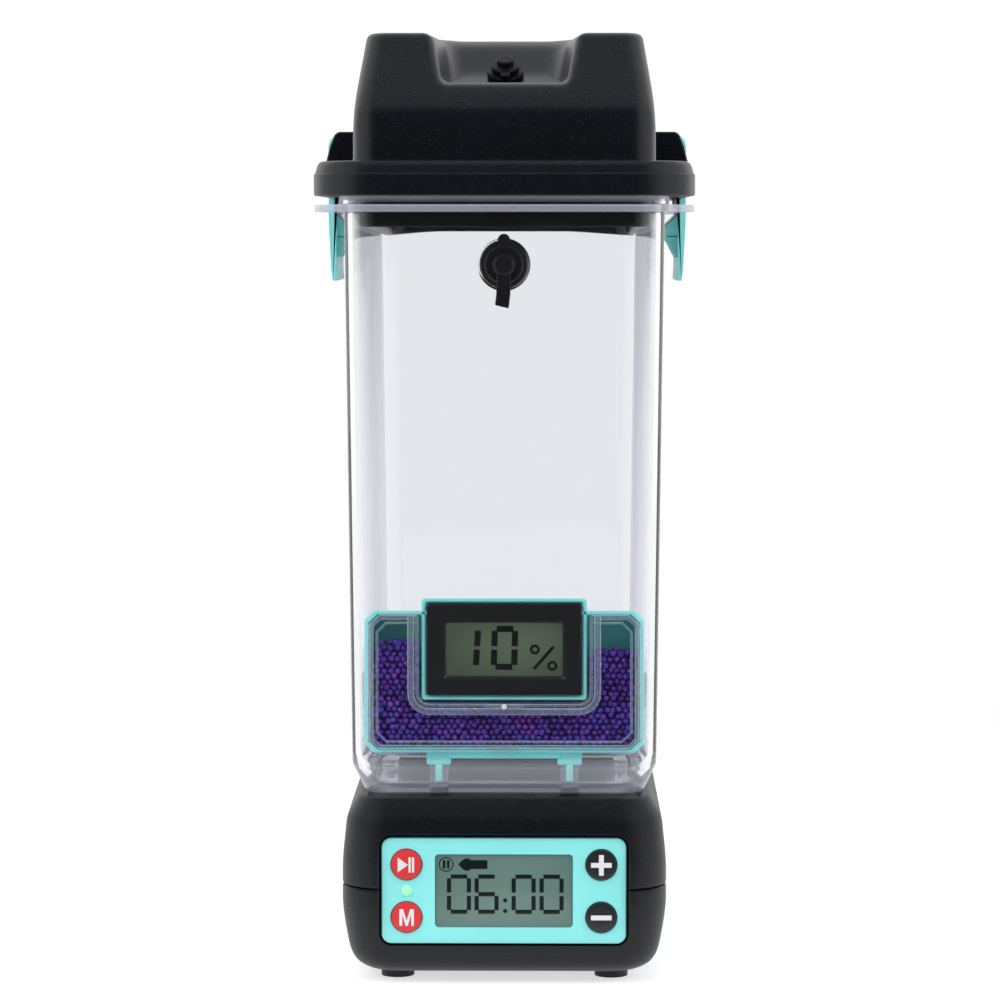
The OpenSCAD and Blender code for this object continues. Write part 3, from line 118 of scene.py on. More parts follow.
for name, place, turn, size, power in (
    ("lamp_left", (-1.1, -0.9, 1.3), (50, 0, -50), 1.0, 14),
    ("lamp_right", (1.2, -0.7, 1.1), (55, 0, 60), 1.0, 10),
    ("lamp_top", (0.0, 0.1, 1.6), (0, 0, 0), 1.2, 8),
):
    lamp = bpy.data.objects.new(name, bpy.data.lights.new(name, "AREA"))
    lamp.data.size, lamp.data.energy = size, power
    lamp.location, lamp.rotation_euler = place, [radians(a) for a in turn]
    lamp.visible_glossy = False
    bpy.context.scene.collection.objects.link(lamp)

floor_mesh = bpy.data.meshes.new("floor")
floor_mesh.from_pydata([(-1.5, -0.2, 0), (1.5, -0.2, 0), (1.5, 2, 0), (-1.5, 2, 0)], [], [(0, 1, 2, 3)])
floor = bpy.data.objects.new("floor", floor_mesh)
bpy.context.scene.collection.objects.link(floor)
paper = bpy.data.materials.new("floor_paper")
paper.use_nodes = True
paper.node_tree.nodes.clear()
add_nodes(paper, path="LightPath", seen="Math MAXIMUM", through="Math MAXIMUM", plain="Math LESS_THAN",
          shown="Math MULTIPLY", where="TexCoord", near="Mapping", ball="TexGradient", card="BsdfDiffuse",
          glow="Emission", white="Emission", close="AddShader", fade="MixShader", both="MixShader",
          out="OutputMaterial")
paper.node_tree.nodes["ball"].gradient_type = "QUADRATIC_SPHERE"
dial(paper, {"near.Scale": (1.6, 1.6, 1.6), "card.Color": (0.8, 0.8, 0.81, 1), "glow.Color": (0.5, 0.5, 0.5, 1),
             "white.Color": (1, 1, 1, 1)})
wire(paper, "path.Is Camera Ray > seen.0", "path.Is Glossy Ray > seen.1", "seen.0 > through.0",
     "path.Is Transmission Ray > through.1", "path.Diffuse Depth > plain.0", "through.0 > shown.0",
     "plain.0 > shown.1", "where.Object > near.Vector", "near.Vector > ball.Vector", "card.0 > close.0",
     "glow.0 > close.1", "ball.Fac > fade.0", "white.0 > fade.1", "close.0 > fade.2", "shown.0 > both.0",
     "card.0 > both.1", "fade.0 > both.2", "both.0 > out.Surface")
floor_mesh.materials.append(paper)


# ---------- Dock: lower and upper shell ----------
# The heated base is two injection-moulded shells of black ABS with a fine spark-eroded grain.
# Four screws from below pull them together at the parting line, and the front wall is cut for the panel.
turn = np.radians(np.linspace(0, 90, 13)[None, :] + np.arange(4)[:, None] * 90).ravel()
CORNER_NORMAL = np.stack([np.cos(turn), np.sin(turn)], 1)
CORNER_SIGN = np.repeat([(1.0, 1.0), (-1.0, 1.0), (-1.0, -1.0), (1.0, -1.0)], 13, axis=0)


def rings(rows):
    """Rounded rectangles, one for each row (half width, half length, corner radius, height):
    point = corner sign * (half size - radius) + radius * normal of the quarter turn."""
    rows = np.asarray(rows, float)
    flat = CORNER_SIGN * (rows[:, None, :2] - rows[:, None, 2:3]) + rows[:, None, 2:3] * CORNER_NORMAL
    return np.concatenate([flat, np.broadcast_to(rows[:, None, 3:4], flat.shape[:2] + (1,))], 2)


def soften(rows, cuts, steps=7):
    """Rounds the corners of a profile: corner c becomes (1-s)^2 a + 2 s (1-s) c + s^2 b,
    where a and b lie on the two sides of the profile, a cut's length before and after c."""
    rows, cuts = np.asarray(rows, float), np.asarray(cuts, float)[:, None]
    back, on = np.roll(rows, 1, 0) - rows, np.roll(rows, -1, 0) - rows
    share = lambda side: np.minimum(cuts / np.maximum(np.linalg.norm(side, axis=1, keepdims=True), 1e-9), 0.49)
    a, b, s = rows + back * share(back), rows + on * share(on), np.linspace(0, 1, steps)[None, :, None]
    bent = (1 - s) ** 2 * a[:, None] + 2 * s * (1 - s) * rows[:, None] + s**2 * b[:, None]
    bent = bent.reshape(-1, rows.shape[1])
    return bent[np.r_[True, np.linalg.norm(np.diff(bent, axis=0), axis=1) > 1e-4]]


def shell(grid, loop=False):
    """A closed shell over a grid of rings: quads join each ring to the next. The first and last ring are filled,
    or joined to each other where the shell is a loop."""
    rows, count = grid.shape[:2]
    i, j = (k.ravel() for k in np.meshgrid(np.arange(rows - (not loop)), np.arange(count), indexing="ij"))
    k, n = (j + 1) % count, (i + 1) % rows
    quads = np.stack([i * count + j, i * count + k, n * count + k, n * count + j], 1)
    caps = [] if loop else [np.arange(count)[::-1], np.arange(count) + (rows - 1) * count]
    return grid.reshape(-1, 3), quads, caps


def shell_volume(points, quads, caps):
    """Volume under a shell's faces: the sum of a . (b x c) / 6 over the fans of triangles that fill them."""
    fans = [quads[:, [0, 1, 2]], quads[:, [0, 2, 3]]]
    fans += [np.stack([np.full(len(c) - 2, c[0]), c[1:-1], c[2:]], 1) for c in caps]
    a, b, c = points[np.concatenate(fans)].transpose(1, 0, 2)
    return float((a * np.cross(b, c)).sum()) / 6


def make(name, *shells, sharp=35):
    """A mesh object out of closed shells given in millimetres, each turned so that its volume is positive."""
    points, faces, first = [], [], 0
    for place, quads, caps in shells:
        step = 1 if shell_volume(place, quads, caps) > 0 else -1
        faces += [(f[::step] + first).tolist() for f in caps] + (quads[:, ::step] + first).tolist()
        points.append(place)
        first += len(place)
    mesh = bpy.data.meshes.new(name)
    mesh.from_pydata((np.concatenate(points) * 0.001).tolist(), [], faces)
    mesh.validate()
    mesh.shade_smooth()
    mesh.set_sharp_from_angle(angle=radians(sharp))
    thing = bpy.data.objects.new(name, mesh)
    bpy.context.scene.collection.objects.link(thing)
    return thing


def carve(thing, *tools):
    """Cuts the tools out of a thing, one exact boolean after another, and removes them."""
    for tool in tools:
        cut = thing.modifiers.new("cut", "BOOLEAN")
        cut.operation, cut.object, cut.solver = "DIFFERENCE", tool, "EXACT"
        bpy.context.view_layer.update()
        cut_mesh = bpy.data.meshes.new_from_object(thing.evaluated_get(bpy.context.evaluated_depsgraph_get()))
        thing.modifiers.clear()
        thing.data = cut_mesh
        bpy.data.objects.remove(tool)
    thing.data.shade_smooth()
    thing.data.set_sharp_from_angle(angle=radians(35))
    return thing


def seat(thing, body, slot, material, *nodes):
    """Gives a finished piece its material and its body, and hides the nodes it stands for. Its slot is not used."""
    thing.data.materials.clear()
    thing.data.materials.append(material)
    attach(thing, body)
    if nodes:
        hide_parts(*nodes)
    return thing


def upright(grid, front_y, middle_z):
    """Stands a flat plate up so that it faces the front: (x, y, h) goes to (x, front_y - h, middle_z + y)."""
    return np.stack([grid[..., 0], front_y - grid[..., 2], middle_z + grid[..., 1]], -1)


def plate(w, h, r, front_y, back_y, middle_z, edge=0.0, x=0.0):
    """Upright plate with round corners and, where edge isn't 0, a rounded front edge."""
    rows = [(w / 2, h / 2, r, front_y - back_y), (w / 2, h / 2, r, -edge)]
    if edge:
        rows += [(w / 2 - 0.3 * edge, h / 2 - 0.3 * edge, max(r - 0.3 * edge, 0.05), -0.3 * edge),
                 (w / 2 - edge, h / 2 - edge, max(r - edge, 0.05), 0)]
    grid = upright(rings(rows), front_y, middle_z)
    grid[..., 0] += x
    return shell(grid)


def moulded(name, colour, rough, grain=0.25, grain_mm=0.5, shade=0.12, spark=0.0):
    """Injection-moulded plastic: faint clouds in the colour, a spark-eroded grain in the bump,
    and for matt black painted highlights: pale points added to the base colour where the grain would catch the light."""
    m = bpy.data.materials.new(name)
    m.use_nodes = True
    add_nodes(m, where="TexCoord", cloud="TexNoise", tone="ValToRGB", fine="TexNoise", press="Bump",
              gloss="MapRange")
    ramp(m, "tone", *((at, [c * k for c in colour]) for at, k in ((0.3, 1 - shade), (0.7, 1 + shade))))
    dial(m, {"cloud.Scale": 35, "cloud.Detail": 3, "fine.Scale": 1000 / grain_mm, "fine.Detail": 2,
             "press.Strength": grain, "press.Distance": 0.0002, "gloss.To Min": rough - 0.05,
             "gloss.To Max": rough + 0.05})
    wire(m, "where.Object > cloud.Vector", "where.Object > fine.Vector", "cloud.0 > tone.Fac",
         "fine.0 > press.Height", "fine.0 > gloss.Value", "press.Normal > Principled BSDF.Normal",
         "gloss.Result > Principled BSDF.Roughness")
    if not spark:
        wire(m, "tone.Color > Principled BSDF.Base Color")
        return m
    # Painted highlights: pale points added to the base colour in place of light caught by the grain; spark sets their
    # brightness.
    add_nodes(m, dots="TexVoronoi", few="ValToRGB", dusted="Mix")
    dusted = m.node_tree.nodes["dusted"]
    dusted.data_type, dusted.blend_type = "RGBA", "ADD"
    ramp(m, "few", (0.10, 1.0), (0.26, 0.0))
    dial(m, {"dots.Scale": 1000 / (grain_mm * 2.2), "dusted.7": (spark, spark, spark * 1.08, 1)})
    wire(m, "where.Object > dots.Vector", "dots.Distance > few.Fac", "few.Color > dusted.0",
         "tone.Color > dusted.6", "dusted.2 > Principled BSDF.Base Color")
    return m


def lathe(profile, place, axis="y", steps=40, loop=False):
    """Turned shape: every (radius, distance) of the profile becomes a circle round the axis through place."""
    profile = np.asarray(profile, float)
    a = np.linspace(0, 2 * np.pi, steps, endpoint=False)
    side, up, along = (profile[:, :1] * np.cos(a), profile[:, :1] * np.sin(a), profile[:, 1:] + 0 * a)
    order = {"x": (along, side, up), "y": (side, along, up), "z": (side, up, along)}[axis]
    return shell(np.stack(order, -1) + np.asarray(place, float), loop)


def block(low, high):
    """Box between two corners, as a shell of two rectangles."""
    (x0, y0, z0), (x1, y1, z1) = low, high
    square = np.array([(x0, y0), (x1, y0), (x1, y1), (x0, y1)], float)
    return shell(np.stack([np.c_[square, [z] * 4] for z in (z0, z1)]))


# spark adds painted highlights: pale points in the base colour where the grain would catch the light.
black = moulded("black_dock_plastic", (0.0045, 0.005, 0.0075), 0.42, grain=0.35, grain_mm=0.45, spark=0.016)
dial(black, {"Principled BSDF.Specular IOR Level": 0.33})
panel_y, panel_z = -118.4, 29.7
panel_hole = lambda: make("panel_hole", shell(upright(rings([
    (38.6, 17.3, 4.0, -20), (38.6, 17.3, 4.0, 0.6), (39.3, 18.1, 4.8, 2.0), (40.2, 19.2, 5.6, 12)]), panel_y, 29.9)))
# The lower shell's rows run from the middle of its outside round the parting line to the middle of its inside.
lower = make("dock_lower_shell", shell(rings(np.concatenate([
    soften([(30, 100, 4, 3), (41.5, 111.5, 8, 3), (47.7, 117.7, 13, 6.6), (50.5, 120.5, 15, 22),
            (50.5, 120.5, 15, 29.5), (50.0, 120.0, 14.5, 30.0)], (0, 4, 6, 8, 0.4, 0)),
    [(48.0, 118.0, 12.5, 30.0), (48.0, 118.0, 12.5, 22), (44.5, 114.5, 10, 8), (40, 110, 7, 5.5),
     (30, 100, 4, 5.5)]]))))
carve(lower, panel_hole(),
      make("inlet_hole", lathe([(3.7, 110), (3.7, 130)], (0, 0, 15.5))),
      *[make("screw_hole", lathe([(3.2, 1), (3.2, 7)], (x, y, 0), "z")) for x in (-36, 36) for y in (-85.5, 108.5)])
seat(lower, "dock", "black_plastic", black, "lower_shell")
# The upper shell's rows run the other way, from the middle of its inside to the middle of the deck.
upper = make("dock_upper_shell", shell(rings(np.concatenate([
    [(30, 100, 4, 55.5), (42.5, 112.5, 9, 55.5), (46.6, 116.6, 12, 51), (48.0, 118.0, 12.5, 36),
     (48.0, 118.0, 12.5, 30.4)],
    soften([(50.0, 120.0, 14.5, 30.4), (50.5, 120.5, 15, 30.9), (50.5, 120.5, 15, 38), (49.1, 119.1, 14, 51.5),
            (45.3, 115.3, 11.5, 58), (30, 100, 4, 58)], (0, 0.4, 5, 2.2, 1.6, 0))]))))
port_x, port_y, bore = 22, 84, 5.9
carve(upper, panel_hole(),
      *[make("nozzle_hole", lathe([(bore, 50), (bore, 65)], (x, port_y, 0), "z")) for x in (-port_x, port_x)])
seat(upper, "dock", "black_plastic", black, "upper_shell")
# Each air nozzle holds a pin on a spider of three arms, which pushes the tub's valve open.
nozzles = make("dock_air_nozzles", *[part for x in (-port_x, port_x) for part in (
    lathe([(bore, 55.5), (7.3, 55.5), (7.3, 60.0), (7.0, 60.3), (6.2, 60.3), (bore, 60.0)], (x, port_y, 0), "z",
          loop=True),
    lathe([(1.3, 56.0), (1.3, 65.0), (1.0, 65.4)], (x, port_y, 0), "z", 24))])
arm, *arm_faces = block((0.5, -0.6, 56.2), (6.3, 0.6, 57.8))
spiders = make("nozzle_spiders", *[
    (arm @ [(np.cos(a), np.sin(a), 0), (-np.sin(a), np.cos(a), 0), (0, 0, 1)] + (x, port_y, 0), *arm_faces)
    for x in (-port_x, port_x) for a in np.radians((90, 210, 330))])
for piece in (nozzles, spiders):
    seat(piece, "dock", "black_plastic", black)


# ---------- Dock: control panel, clock display, buttons and status light ----------
# A turquoise ABS face plate snaps into the dock's front recess. The grey liquid crystal display sits in its middle,
# with two red and two black push buttons beside it and a green light between the red ones.
turquoise = moulded("turquoise_plastic", (0.30, 0.93, 0.885), 0.33, grain=0.08, grain_mm=0.7, shade=0.03)
red = moulded("button_red", (0.80, 0.035, 0.04), 0.35, grain=0.05, grain_mm=0.8, shade=0.05)
black_button = moulded("button_black", (0.018, 0.02, 0.022), 0.35, grain=0.05, grain_mm=0.8, shade=0.05)
white_print = moulded("white_print", (0.86, 0.85, 0.86), 0.5, grain=0.03, shade=0.02)
lamp_green = moulded("status_green", (0.36, 0.90, 0.52), 0.15, grain=0.0, shade=0.03)
dial(lamp_green, {"Principled BSDF.Emission Color": (0.35, 1.0, 0.6, 1),
                  "Principled BSDF.Emission Strength": 0.25})

button_x, upper_z, lower_z = 30.1, 37.9, 21.5
panel = make("control_panel_plate", plate(75.7, 33, 3, panel_y, -116.4, panel_z, edge=0.5))
carve(panel,
      make("display_hole", plate(42.64, 22.84, 1.2, -125, -110, panel_z)),
      *[make("button_hole", lathe([(5.0, -125), (5.0, -110)], (x, 0, z)))
        for x in (-button_x, button_x) for z in (lower_z, upper_z)],
      make("light_hole", lathe([(1.75, -125), (1.75, -110)], (-button_x, 0, panel_z))))
seat(panel, "dock", "turquoise_plastic", turquoise, "control_panel")
backing = make("panel_backing", plate(81.7, 38.6, 2, -116.35, -113.6, panel_z))
carve(backing, make("backing_window", plate(73.2, 29.8, 1.5, -125, -100, panel_z)))
seat(backing, "dock", "black_plastic", black)


def lcd(name, light, dark, centre, half):
    """Liquid crystal glass: a tone that darkens evenly towards the edges as painted shade from the frame round it,
    with faint lines of the pixel sheet.
    """
    m = bpy.data.materials.new(name)
    m.use_nodes = True
    add_nodes(m, where="TexCoord", place="Mapping", ball="TexGradient", tone="ValToRGB", weave="TexWave",
              press="Bump")
    m.node_tree.nodes["ball"].gradient_type = "SPHERICAL"
    # Painted shade: the ramp darkens the glass from its middle out to its edges.
    ramp(m, "tone", (0.0, dark), (0.75, light))
    dial(m, {"place.Location": [-c / h for c, h in zip(centre, half)], "place.Scale": [1 / h for h in half],
             "weave.Scale": 900, "press.Strength": 0.04, "press.Distance": 0.0001,
             "Principled BSDF.Roughness": 0.22})
    wire(m, "where.Object > place.Vector", "place.Vector > ball.Vector", "ball.Fac > tone.Fac",
         "tone.Color > Principled BSDF.Base Color", "where.Object > weave.Vector", "weave.Fac > press.Height",
         "press.Normal > Principled BSDF.Normal")
    return m


clock_y = -118.0
# The darker of the two tones is painted shade at the edges of the glass.
clock_glass = lcd("clock_glass", (0.150, 0.245, 0.205), (0.105, 0.195, 0.160), (0, -0.118, 0.0297),
                  (0.034, 0.03, 0.022))
clock = make("clock_glass_plate", plate(42.6, 22.8, 1.2, clock_y, -116.4, panel_z, edge=0.15))
seat(clock, "dock", "display_grey", clock_glass, "clock_display")


def strip(path, width, height, front_y, closed=False):
    """Raised strip along a path of (x, z) points: at every point the section runs across the path's normal,
    half a width to each side, and stands height proud of front_y."""
    path = np.asarray(path, float)
    along = np.roll(path, -1, 0) - np.roll(path, 1, 0) if closed else np.gradient(path, axis=0)
    along /= np.linalg.norm(along, axis=1, keepdims=True)
    across = np.stack([-along[:, 1], along[:, 0]], 1) * width / 2
    low, high = path - across, path + across
    y = lambda d: np.full(len(path), front_y - d)
    corners = [(low, 0), (low, height * 0.6), (low * 0.85 + high * 0.15, height), (low * 0.15 + high * 0.85, height),
               (high, height * 0.6), (high, 0)]
    return shell(np.stack([np.stack([p[:, 0], y(d), p[:, 1]], -1) for p, d in corners], 1), closed)


def seven(x, z, w, h, lit, front_y, thick=1.3, slant=0.0):
    """Strips of one seven-segment digit centred at (x, z), w and h between the middles of its outer segments.
    A segment runs from corner to corner, less the same gap at both ends."""
    ends = {"a": (-1, 1, 1, 1), "g": (-1, 0, 1, 0), "d": (-1, -1, 1, -1), "f": (-1, 1, -1, 0), "b": (1, 1, 1, 0),
            "e": (-1, 0, -1, -1), "c": (1, 0, 1, -1)}
    gap, strips = 0.55, []
    for key in lit:
        a, b, c, d = np.array(ends[key]) * np.array([w, h, w, h]) / 2
        run = np.linspace((a, b), (c, d), 6)
        whole = run[-1] - run[0]
        length = np.linalg.norm(whole)
        run = run[0] + (run - run[0]) * (1 - 2 * gap / length) + whole * gap / length
        run[:, 0] += slant * run[:, 1]
        strips.append(strip(run + (x, z), thick, 0.06, front_y))
    return strips


def circle(x, z, r, steps=24):
    """Points of a circle round (x, z): (x + r cos a, z + r sin a)."""
    a = np.arange(steps) * 2 * np.pi / steps
    return np.stack([x + r * np.cos(a), z + r * np.sin(a)], 1)


def prism(outline, y0, y1):
    """Prism over an (x, z) outline between two depths."""
    outline = np.asarray(outline, float)
    return shell(np.stack([np.stack([outline[:, 0], np.full(len(outline), y), outline[:, 1]], -1)
                           for y in (y0, y1)]))


flat = lambda outline, front_y, thick=0.06: prism(outline, front_y, front_y - thick)
ink = moulded("clock_ink", (0.003, 0.010, 0.010), 0.3, grain=0.0, shade=0.1)
digits = [s for x, lit in ((-13.9, "abcdef"), (-5.35, "afgedc"), (6.1, "abcdef"), (14.75, "abcdef"))
          for s in seven(x, 28.6, 6.15, 11.0, lit, clock_y)]
marks = make("clock_segments", *digits,
             *[flat(circle(0.4, z, 0.65, 16), clock_y) for z in (26.7, 23.4)],
             strip(circle(-17.85, 37.9, 2.15), 0.34, 0.06, clock_y, True),
             *[strip([(x, 36.6), (x, 39.2)], 0.8, 0.06, clock_y) for x in (-18.5, -17.2)],
             flat([(-14.1, 37.9), (-12.9, 39.2), (-11.9, 39.75), (-10.6, 39.75), (-10.4, 39.25), (-5.1, 39.25),
                   (-5.1, 36.5), (-10.4, 36.5), (-10.6, 36.0), (-11.9, 36.0), (-12.9, 36.6)], clock_y))
seat(marks, "dock", "display_grey", ink)

cap = [(1.8, -113.0), (1.8, -116.1), (5.7, -116.1), (5.7, -116.15), (4.7, -116.15), (4.7, -118.85), (4.55, -119.1),
       (4.2, -119.2), (2.0, -119.2)]
bar = lambda x0, x1, half: flat([(x0, -half), (x1, -half), (x1, half), (x0, half)], 0)
play = [flat([(-2.7, -2.3), (-2.7, 2.3), (0.55, 0)], 0), bar(0.65, 1.35, 2.35), bar(1.7, 2.4, 2.35)]
letter_m = [flat([(-2.2, -2.6), (-1.3, -2.6), (-1.3, 0.9), (-0.3, -2.6), (0.4, -2.6), (1.45, 0.9), (1.45, -2.6),
                  (2.3, -2.6), (2.3, 2.6), (1.1, 2.6), (0.05, -1.0), (-1.0, 2.6), (-2.2, 2.6)], 0)]
plus = [flat([(-3.2, -0.75), (-0.75, -0.75), (-0.75, -3.2), (0.75, -3.2), (0.75, -0.75), (3.2, -0.75), (3.2, 0.75),
              (0.75, 0.75), (0.75, 3.2), (-0.75, 3.2), (-0.75, 0.75), (-3.2, 0.75)], 0)]
minus = [bar(-3.2, 3.2, 0.75)]
sign_y = -119.19
for name, x, z, finish, slot, sign in (
    ("start_button", -button_x, upper_z, red, "button_red", play),
    ("mode_button", -button_x, lower_z, red, "button_red", letter_m),
    ("plus_button", button_x, upper_z, black_button, "button_black", plus),
    ("minus_button", button_x, lower_z, black_button, "button_black", minus),
):
    seat(make(name + "_cap", lathe(cap, (x, 0, z), steps=64)), name, slot, finish, name)
    seat(make(name + "_sign", *[(p + (x, sign_y, z), *faces) for p, *faces in sign]), name, slot, white_print)
dome = make("status_light_lens", lathe([(1.7, -109.7), (1.7, -118.5), (1.55, -118.8), (1.1, -119.05), (0.5, -119.15)],
                                       (-button_x, 0, panel_z)))
seat(dome, "dock", "status_green", lamp_green, "status_light")


# ---------- Tub: the clear box that stands on the dock ----------
# Injection-moulded clear polycarbonate, 2.5 mm thick, drawn in towards its foot so that it leaves the mould.
# Its top carries a flange for the latches and a rim that presses into the lid's seal.
clear = bpy.data.materials.new("clear_tub_plastic")
clear.use_nodes = True
add_nodes(clear, where="TexCoord", flow="TexNoise", wave="Bump")
dial(clear, {"Principled BSDF.Base Color": (0.955, 0.957, 0.98, 1), "Principled BSDF.Roughness": 0.02,
             "Principled BSDF.IOR": 1.49, "Principled BSDF.Transmission Weight": 1.0,
             "flow.Scale": 14, "wave.Strength": 0.12, "wave.Distance": 0.0006})
wire(clear, "where.Object > flow.Vector", "flow.0 > wave.Height", "wave.Normal > Principled BSDF.Normal")
# The thick foot, the rim's top and the grazing outer edges are slightly hazy.
add_nodes(clear, split="SeparateXYZ", height="MapRange", zones="ValToRGB", rim="LayerWeight", edge="MapRange",
          haze="Math MAXIMUM", milk="BsdfDiffuse", hazy="MixShader")
ramp(clear, "zones", (0.0, 0.13), (0.045, 0.11), (0.06, 0.0), (0.985, 0.0), (0.992, 0.45), (1.0, 0.45))
dial(clear, {"height.From Min": 0.0589, "height.From Max": 0.2447, "edge.From Min": 0.82, "edge.To Max": 0.55,
             "milk.Color": (0.86, 0.85, 0.93, 1)})
wire(clear, "where.Object > split.Vector", "split.Z > height.Value", "height.Result > zones.Fac",
     "rim.Facing > edge.Value", "zones.Color > haze.0", "edge.Result > haze.1", "haze.0 > hazy.0",
     "Principled BSDF.BSDF > hazy.1", "milk.BSDF > hazy.2")
# Lamps and room light reach what stands inside the box straight through its walls.
add_nodes(clear, path="LightPath", dim="Math MAXIMUM", thin="BsdfTransparent", pass_on="MixShader")
dial(clear, {"thin.Color": (0.95, 0.95, 0.96, 1)})
wire(clear, "path.Is Shadow Ray > dim.0", "path.Is Diffuse Ray > dim.1", "dim.0 > pass_on.0",
     "hazy.0 > pass_on.1", "thin.BSDF > pass_on.2", "pass_on.0 > Material Output.Surface")
wall, draft, flange_z, rim_z, floor_z = 2.5, 0.0118, 239, 244.7, 61.4
front_port = (0, 0, 222.9)
half_at = lambda z, inset=0.0: (49.4 - draft * (flange_z - z) - inset, 117 - draft * (flange_z - z) - inset)
tub = make("clear_tub", shell(rings(np.concatenate([
    soften([(30, 100, 3, 58.9), half_at(58.9, 4) + (8, 58.9), half_at(67.8) + (10, 67.8),
            half_at(flange_z) + (10, flange_z), (50.8, 118.4, 11.4, flange_z), (50.8, 118.4, 11.4, rim_z),
            (48.3, 115.9, 8.9, rim_z), (48.3, 115.9, 8.9, 241.2), half_at(241.2, wall) + (7.5, 241.2)],
           (0, 0.8, 1.0, 0.3, 0.2, 0.4, 0.4, 0.3, 0)),
    soften([half_at(241, wall) + (7.5, 240.6), half_at(68.8, wall) + (7.5, 68.8),
            half_at(60, 4.6 + wall) + (5, floor_z), (30, 100, 3, floor_z)], (0, 3, 3, 0))]))))
carve(tub, make("port_hole", lathe([(5, -130), (5, -100)], front_port)),
      *[make("valve_hole", lathe([(8, 50), (8, 65)], (x, port_y, 0), "z")) for x in (port_x, -port_x)])
seat(tub, "tub", "clear_plastic", clear, "tub")
# The flange, seen edge-on, gathers more haze and is a milky ring of its own.
edge_clear = moulded("clear_flange_plastic", (0.80, 0.77, 0.90), 0.12, grain=0.05, grain_mm=2.0, shade=0.04)
add_nodes(edge_clear, rim="LayerWeight", solid="MapRange")
dial(edge_clear, {"rim.Blend": 0.35, "solid.To Min": 0.28, "solid.To Max": 0.85})
wire(edge_clear, "rim.Facing > solid.Value", "solid.Result > Principled BSDF.Alpha")
flange = make("tub_flange", shell(rings([
    (50.85, 118.45, 11.4, 239.0), (58.2, 125.8, 18.8, 239.0), (58.5, 126.1, 19.1, 239.4), (58.5, 126.1, 19.1, 240.8),
    (58.2, 125.8, 18.8, 241.2), (50.85, 118.45, 11.4, 241.2)]), loop=True))
carve(flange, make("left_recess", block((-90, -23, 238), (-56.2, 23, 243))),
      make("right_recess", block((56.2, -23, 238), (90, 23, 243))))
seat(flange, "tub", "clear_plastic", edge_clear)
lips = make("tub_latch_lips", *[prism([(s * 49.9, 235.8), (s * 53.2, 235.8), (s * 56.1, 238.8), (s * 49.9, 238.8)],
                                      -19, 19) for s in (-1, 1)])
seat(lips, "tub", "clear_plastic", clear)
boss = make("tub_port_ring", lathe([(5.2, -116.9), (8.1, -116.9), (8.1, -117.5), (7.6, -117.81), (5.2, -117.81)],
                                   front_port, loop=True))
seat(boss, "tub", "clear_plastic", clear)
pads = make("tub_foot_pads", *[lathe([(4, 59.2), (4, 58.5), (3.7, 58.3)], (x, y, 0), "z")
                               for x in (-35.4, 35.4) for y in (-99, 99)])
seat(pads, "tub", "clear_plastic", clear)


# ---------- Desiccant box: tray, clear cover, beads and hygrometer ----------
# A turquoise ABS tray stands on two forked posts. A clear snap-in cover holds violet silica gel beads in its
# U-shaped chamber, and a battery hygrometer with a liquid crystal display is pushed into the pocket above.
def octagon(half_w, low, high, cut, y):
    """Upright rectangle with cut corners at depth y, seen from the front."""
    w, c = half_w, cut
    ring = [(-w + c, low), (w - c, low), (w, low + c), (w, high - c), (w - c, high), (-w + c, high), (-w, high - c),
            (-w, low + c)]
    return np.array([(x, y, z) for x, z in ring], float)


def bevel(thing, width, segments=3, angle=30):
    """Rounds every edge sharper than the angle with a live Bevel modifier."""
    round_off = thing.modifiers.new("round_off", "BEVEL")
    round_off.width, round_off.segments = width * 0.001, segments
    round_off.limit_method, round_off.angle_limit = "ANGLE", radians(angle)
    return thing


tray = make("desiccant_tray_body", shell(np.stack([octagon(*row) for row in (
    (42.3, 72.2, 113.2, 2.6, -88.62), (43.0, 71.5, 113.7, 2.8, -89.4), (43.0, 71.5, 115.9, 2.8, -109.0),
    (42.75, 71.75, 115.65, 2.75, -109.9), (42.0, 72.5, 114.9, 2.6, -109.9), (41.4, 73.1, 114.3, 2.4, -109.0),
    (41.4, 73.1, 112.4, 2.4, -90.22))])), sharp=30)
carve(tray, make("tray_slots", *[block((x * 7 - 2.2, -92, 75.5 + z * 4.4), (x * 7 + 2.2, -87, 77.1 + z * 4.4))
                                 for x in range(-5, 6) for z in range(3)]))
seat(bevel(tray, 0.25), "desiccant_box", "turquoise_plastic", turquoise, "desiccant_tray")
holder = make("hygrometer_frame", shell(upright(rings([
    (24.9, 13.9, 1.0, -19.4), (25.6, 15.85, 1.0, -0.6), (25.3, 15.55, 0.9, -0.1), (24.6, 14.9, 0.5, -0.1),
    (24.05, 14.35, 0.4, -0.7), (24.05, 14.35, 0.4, -13.4)]), -110.0, 103.95)), sharp=30)
seat(holder, "desiccant_box", "turquoise_plastic", turquoise)
legs = make("tray_legs", *[block((s * 20.3 - a, -108.5, low), (s * 20.3 + a, -102.5, high))
                           for s in (-1, 1) for a, low, high in ((3.8, 67.0, 72.0), (1.1, 62.8, 67.5))],
            block((-17.5, -109.0, 69.4), (17.5, -107.6, 72.0)))
seat(bevel(legs, 0.5), "desiccant_box", "turquoise_plastic", turquoise)

cover_clear = clear.copy()
cover_clear.name = "clear_cover_plastic"
dial(cover_clear, {"height.From Min": -0.2})
quarter = np.linspace(0, np.pi / 2, 7)


def u_edge(half, low, r, top):
    """U from (half, top) down, round two corners of radius r at the height low, and up to (-half, top)."""
    return np.concatenate([
        [(half, top)], np.stack([half - r + r * np.cos(-quarter), low + r + r * np.sin(-quarter)], 1),
        np.stack([-half + r - r * np.sin(quarter), low + r - r * np.cos(quarter)], 1), [(-half, top)]])


def outer_edge(i):
    """The tray's outline moved in by i, open at the top between the sides of the hygrometer."""
    half = np.array([(27.0, 115.9 - i), (40.2 - i, 115.9 - i), (43 - i, 113.1 - i), (43 - i, 74.3 + i),
                     (40.2 - i, 71.5 + i)])
    return np.concatenate([half, half[::-1] * (-1, 1)])


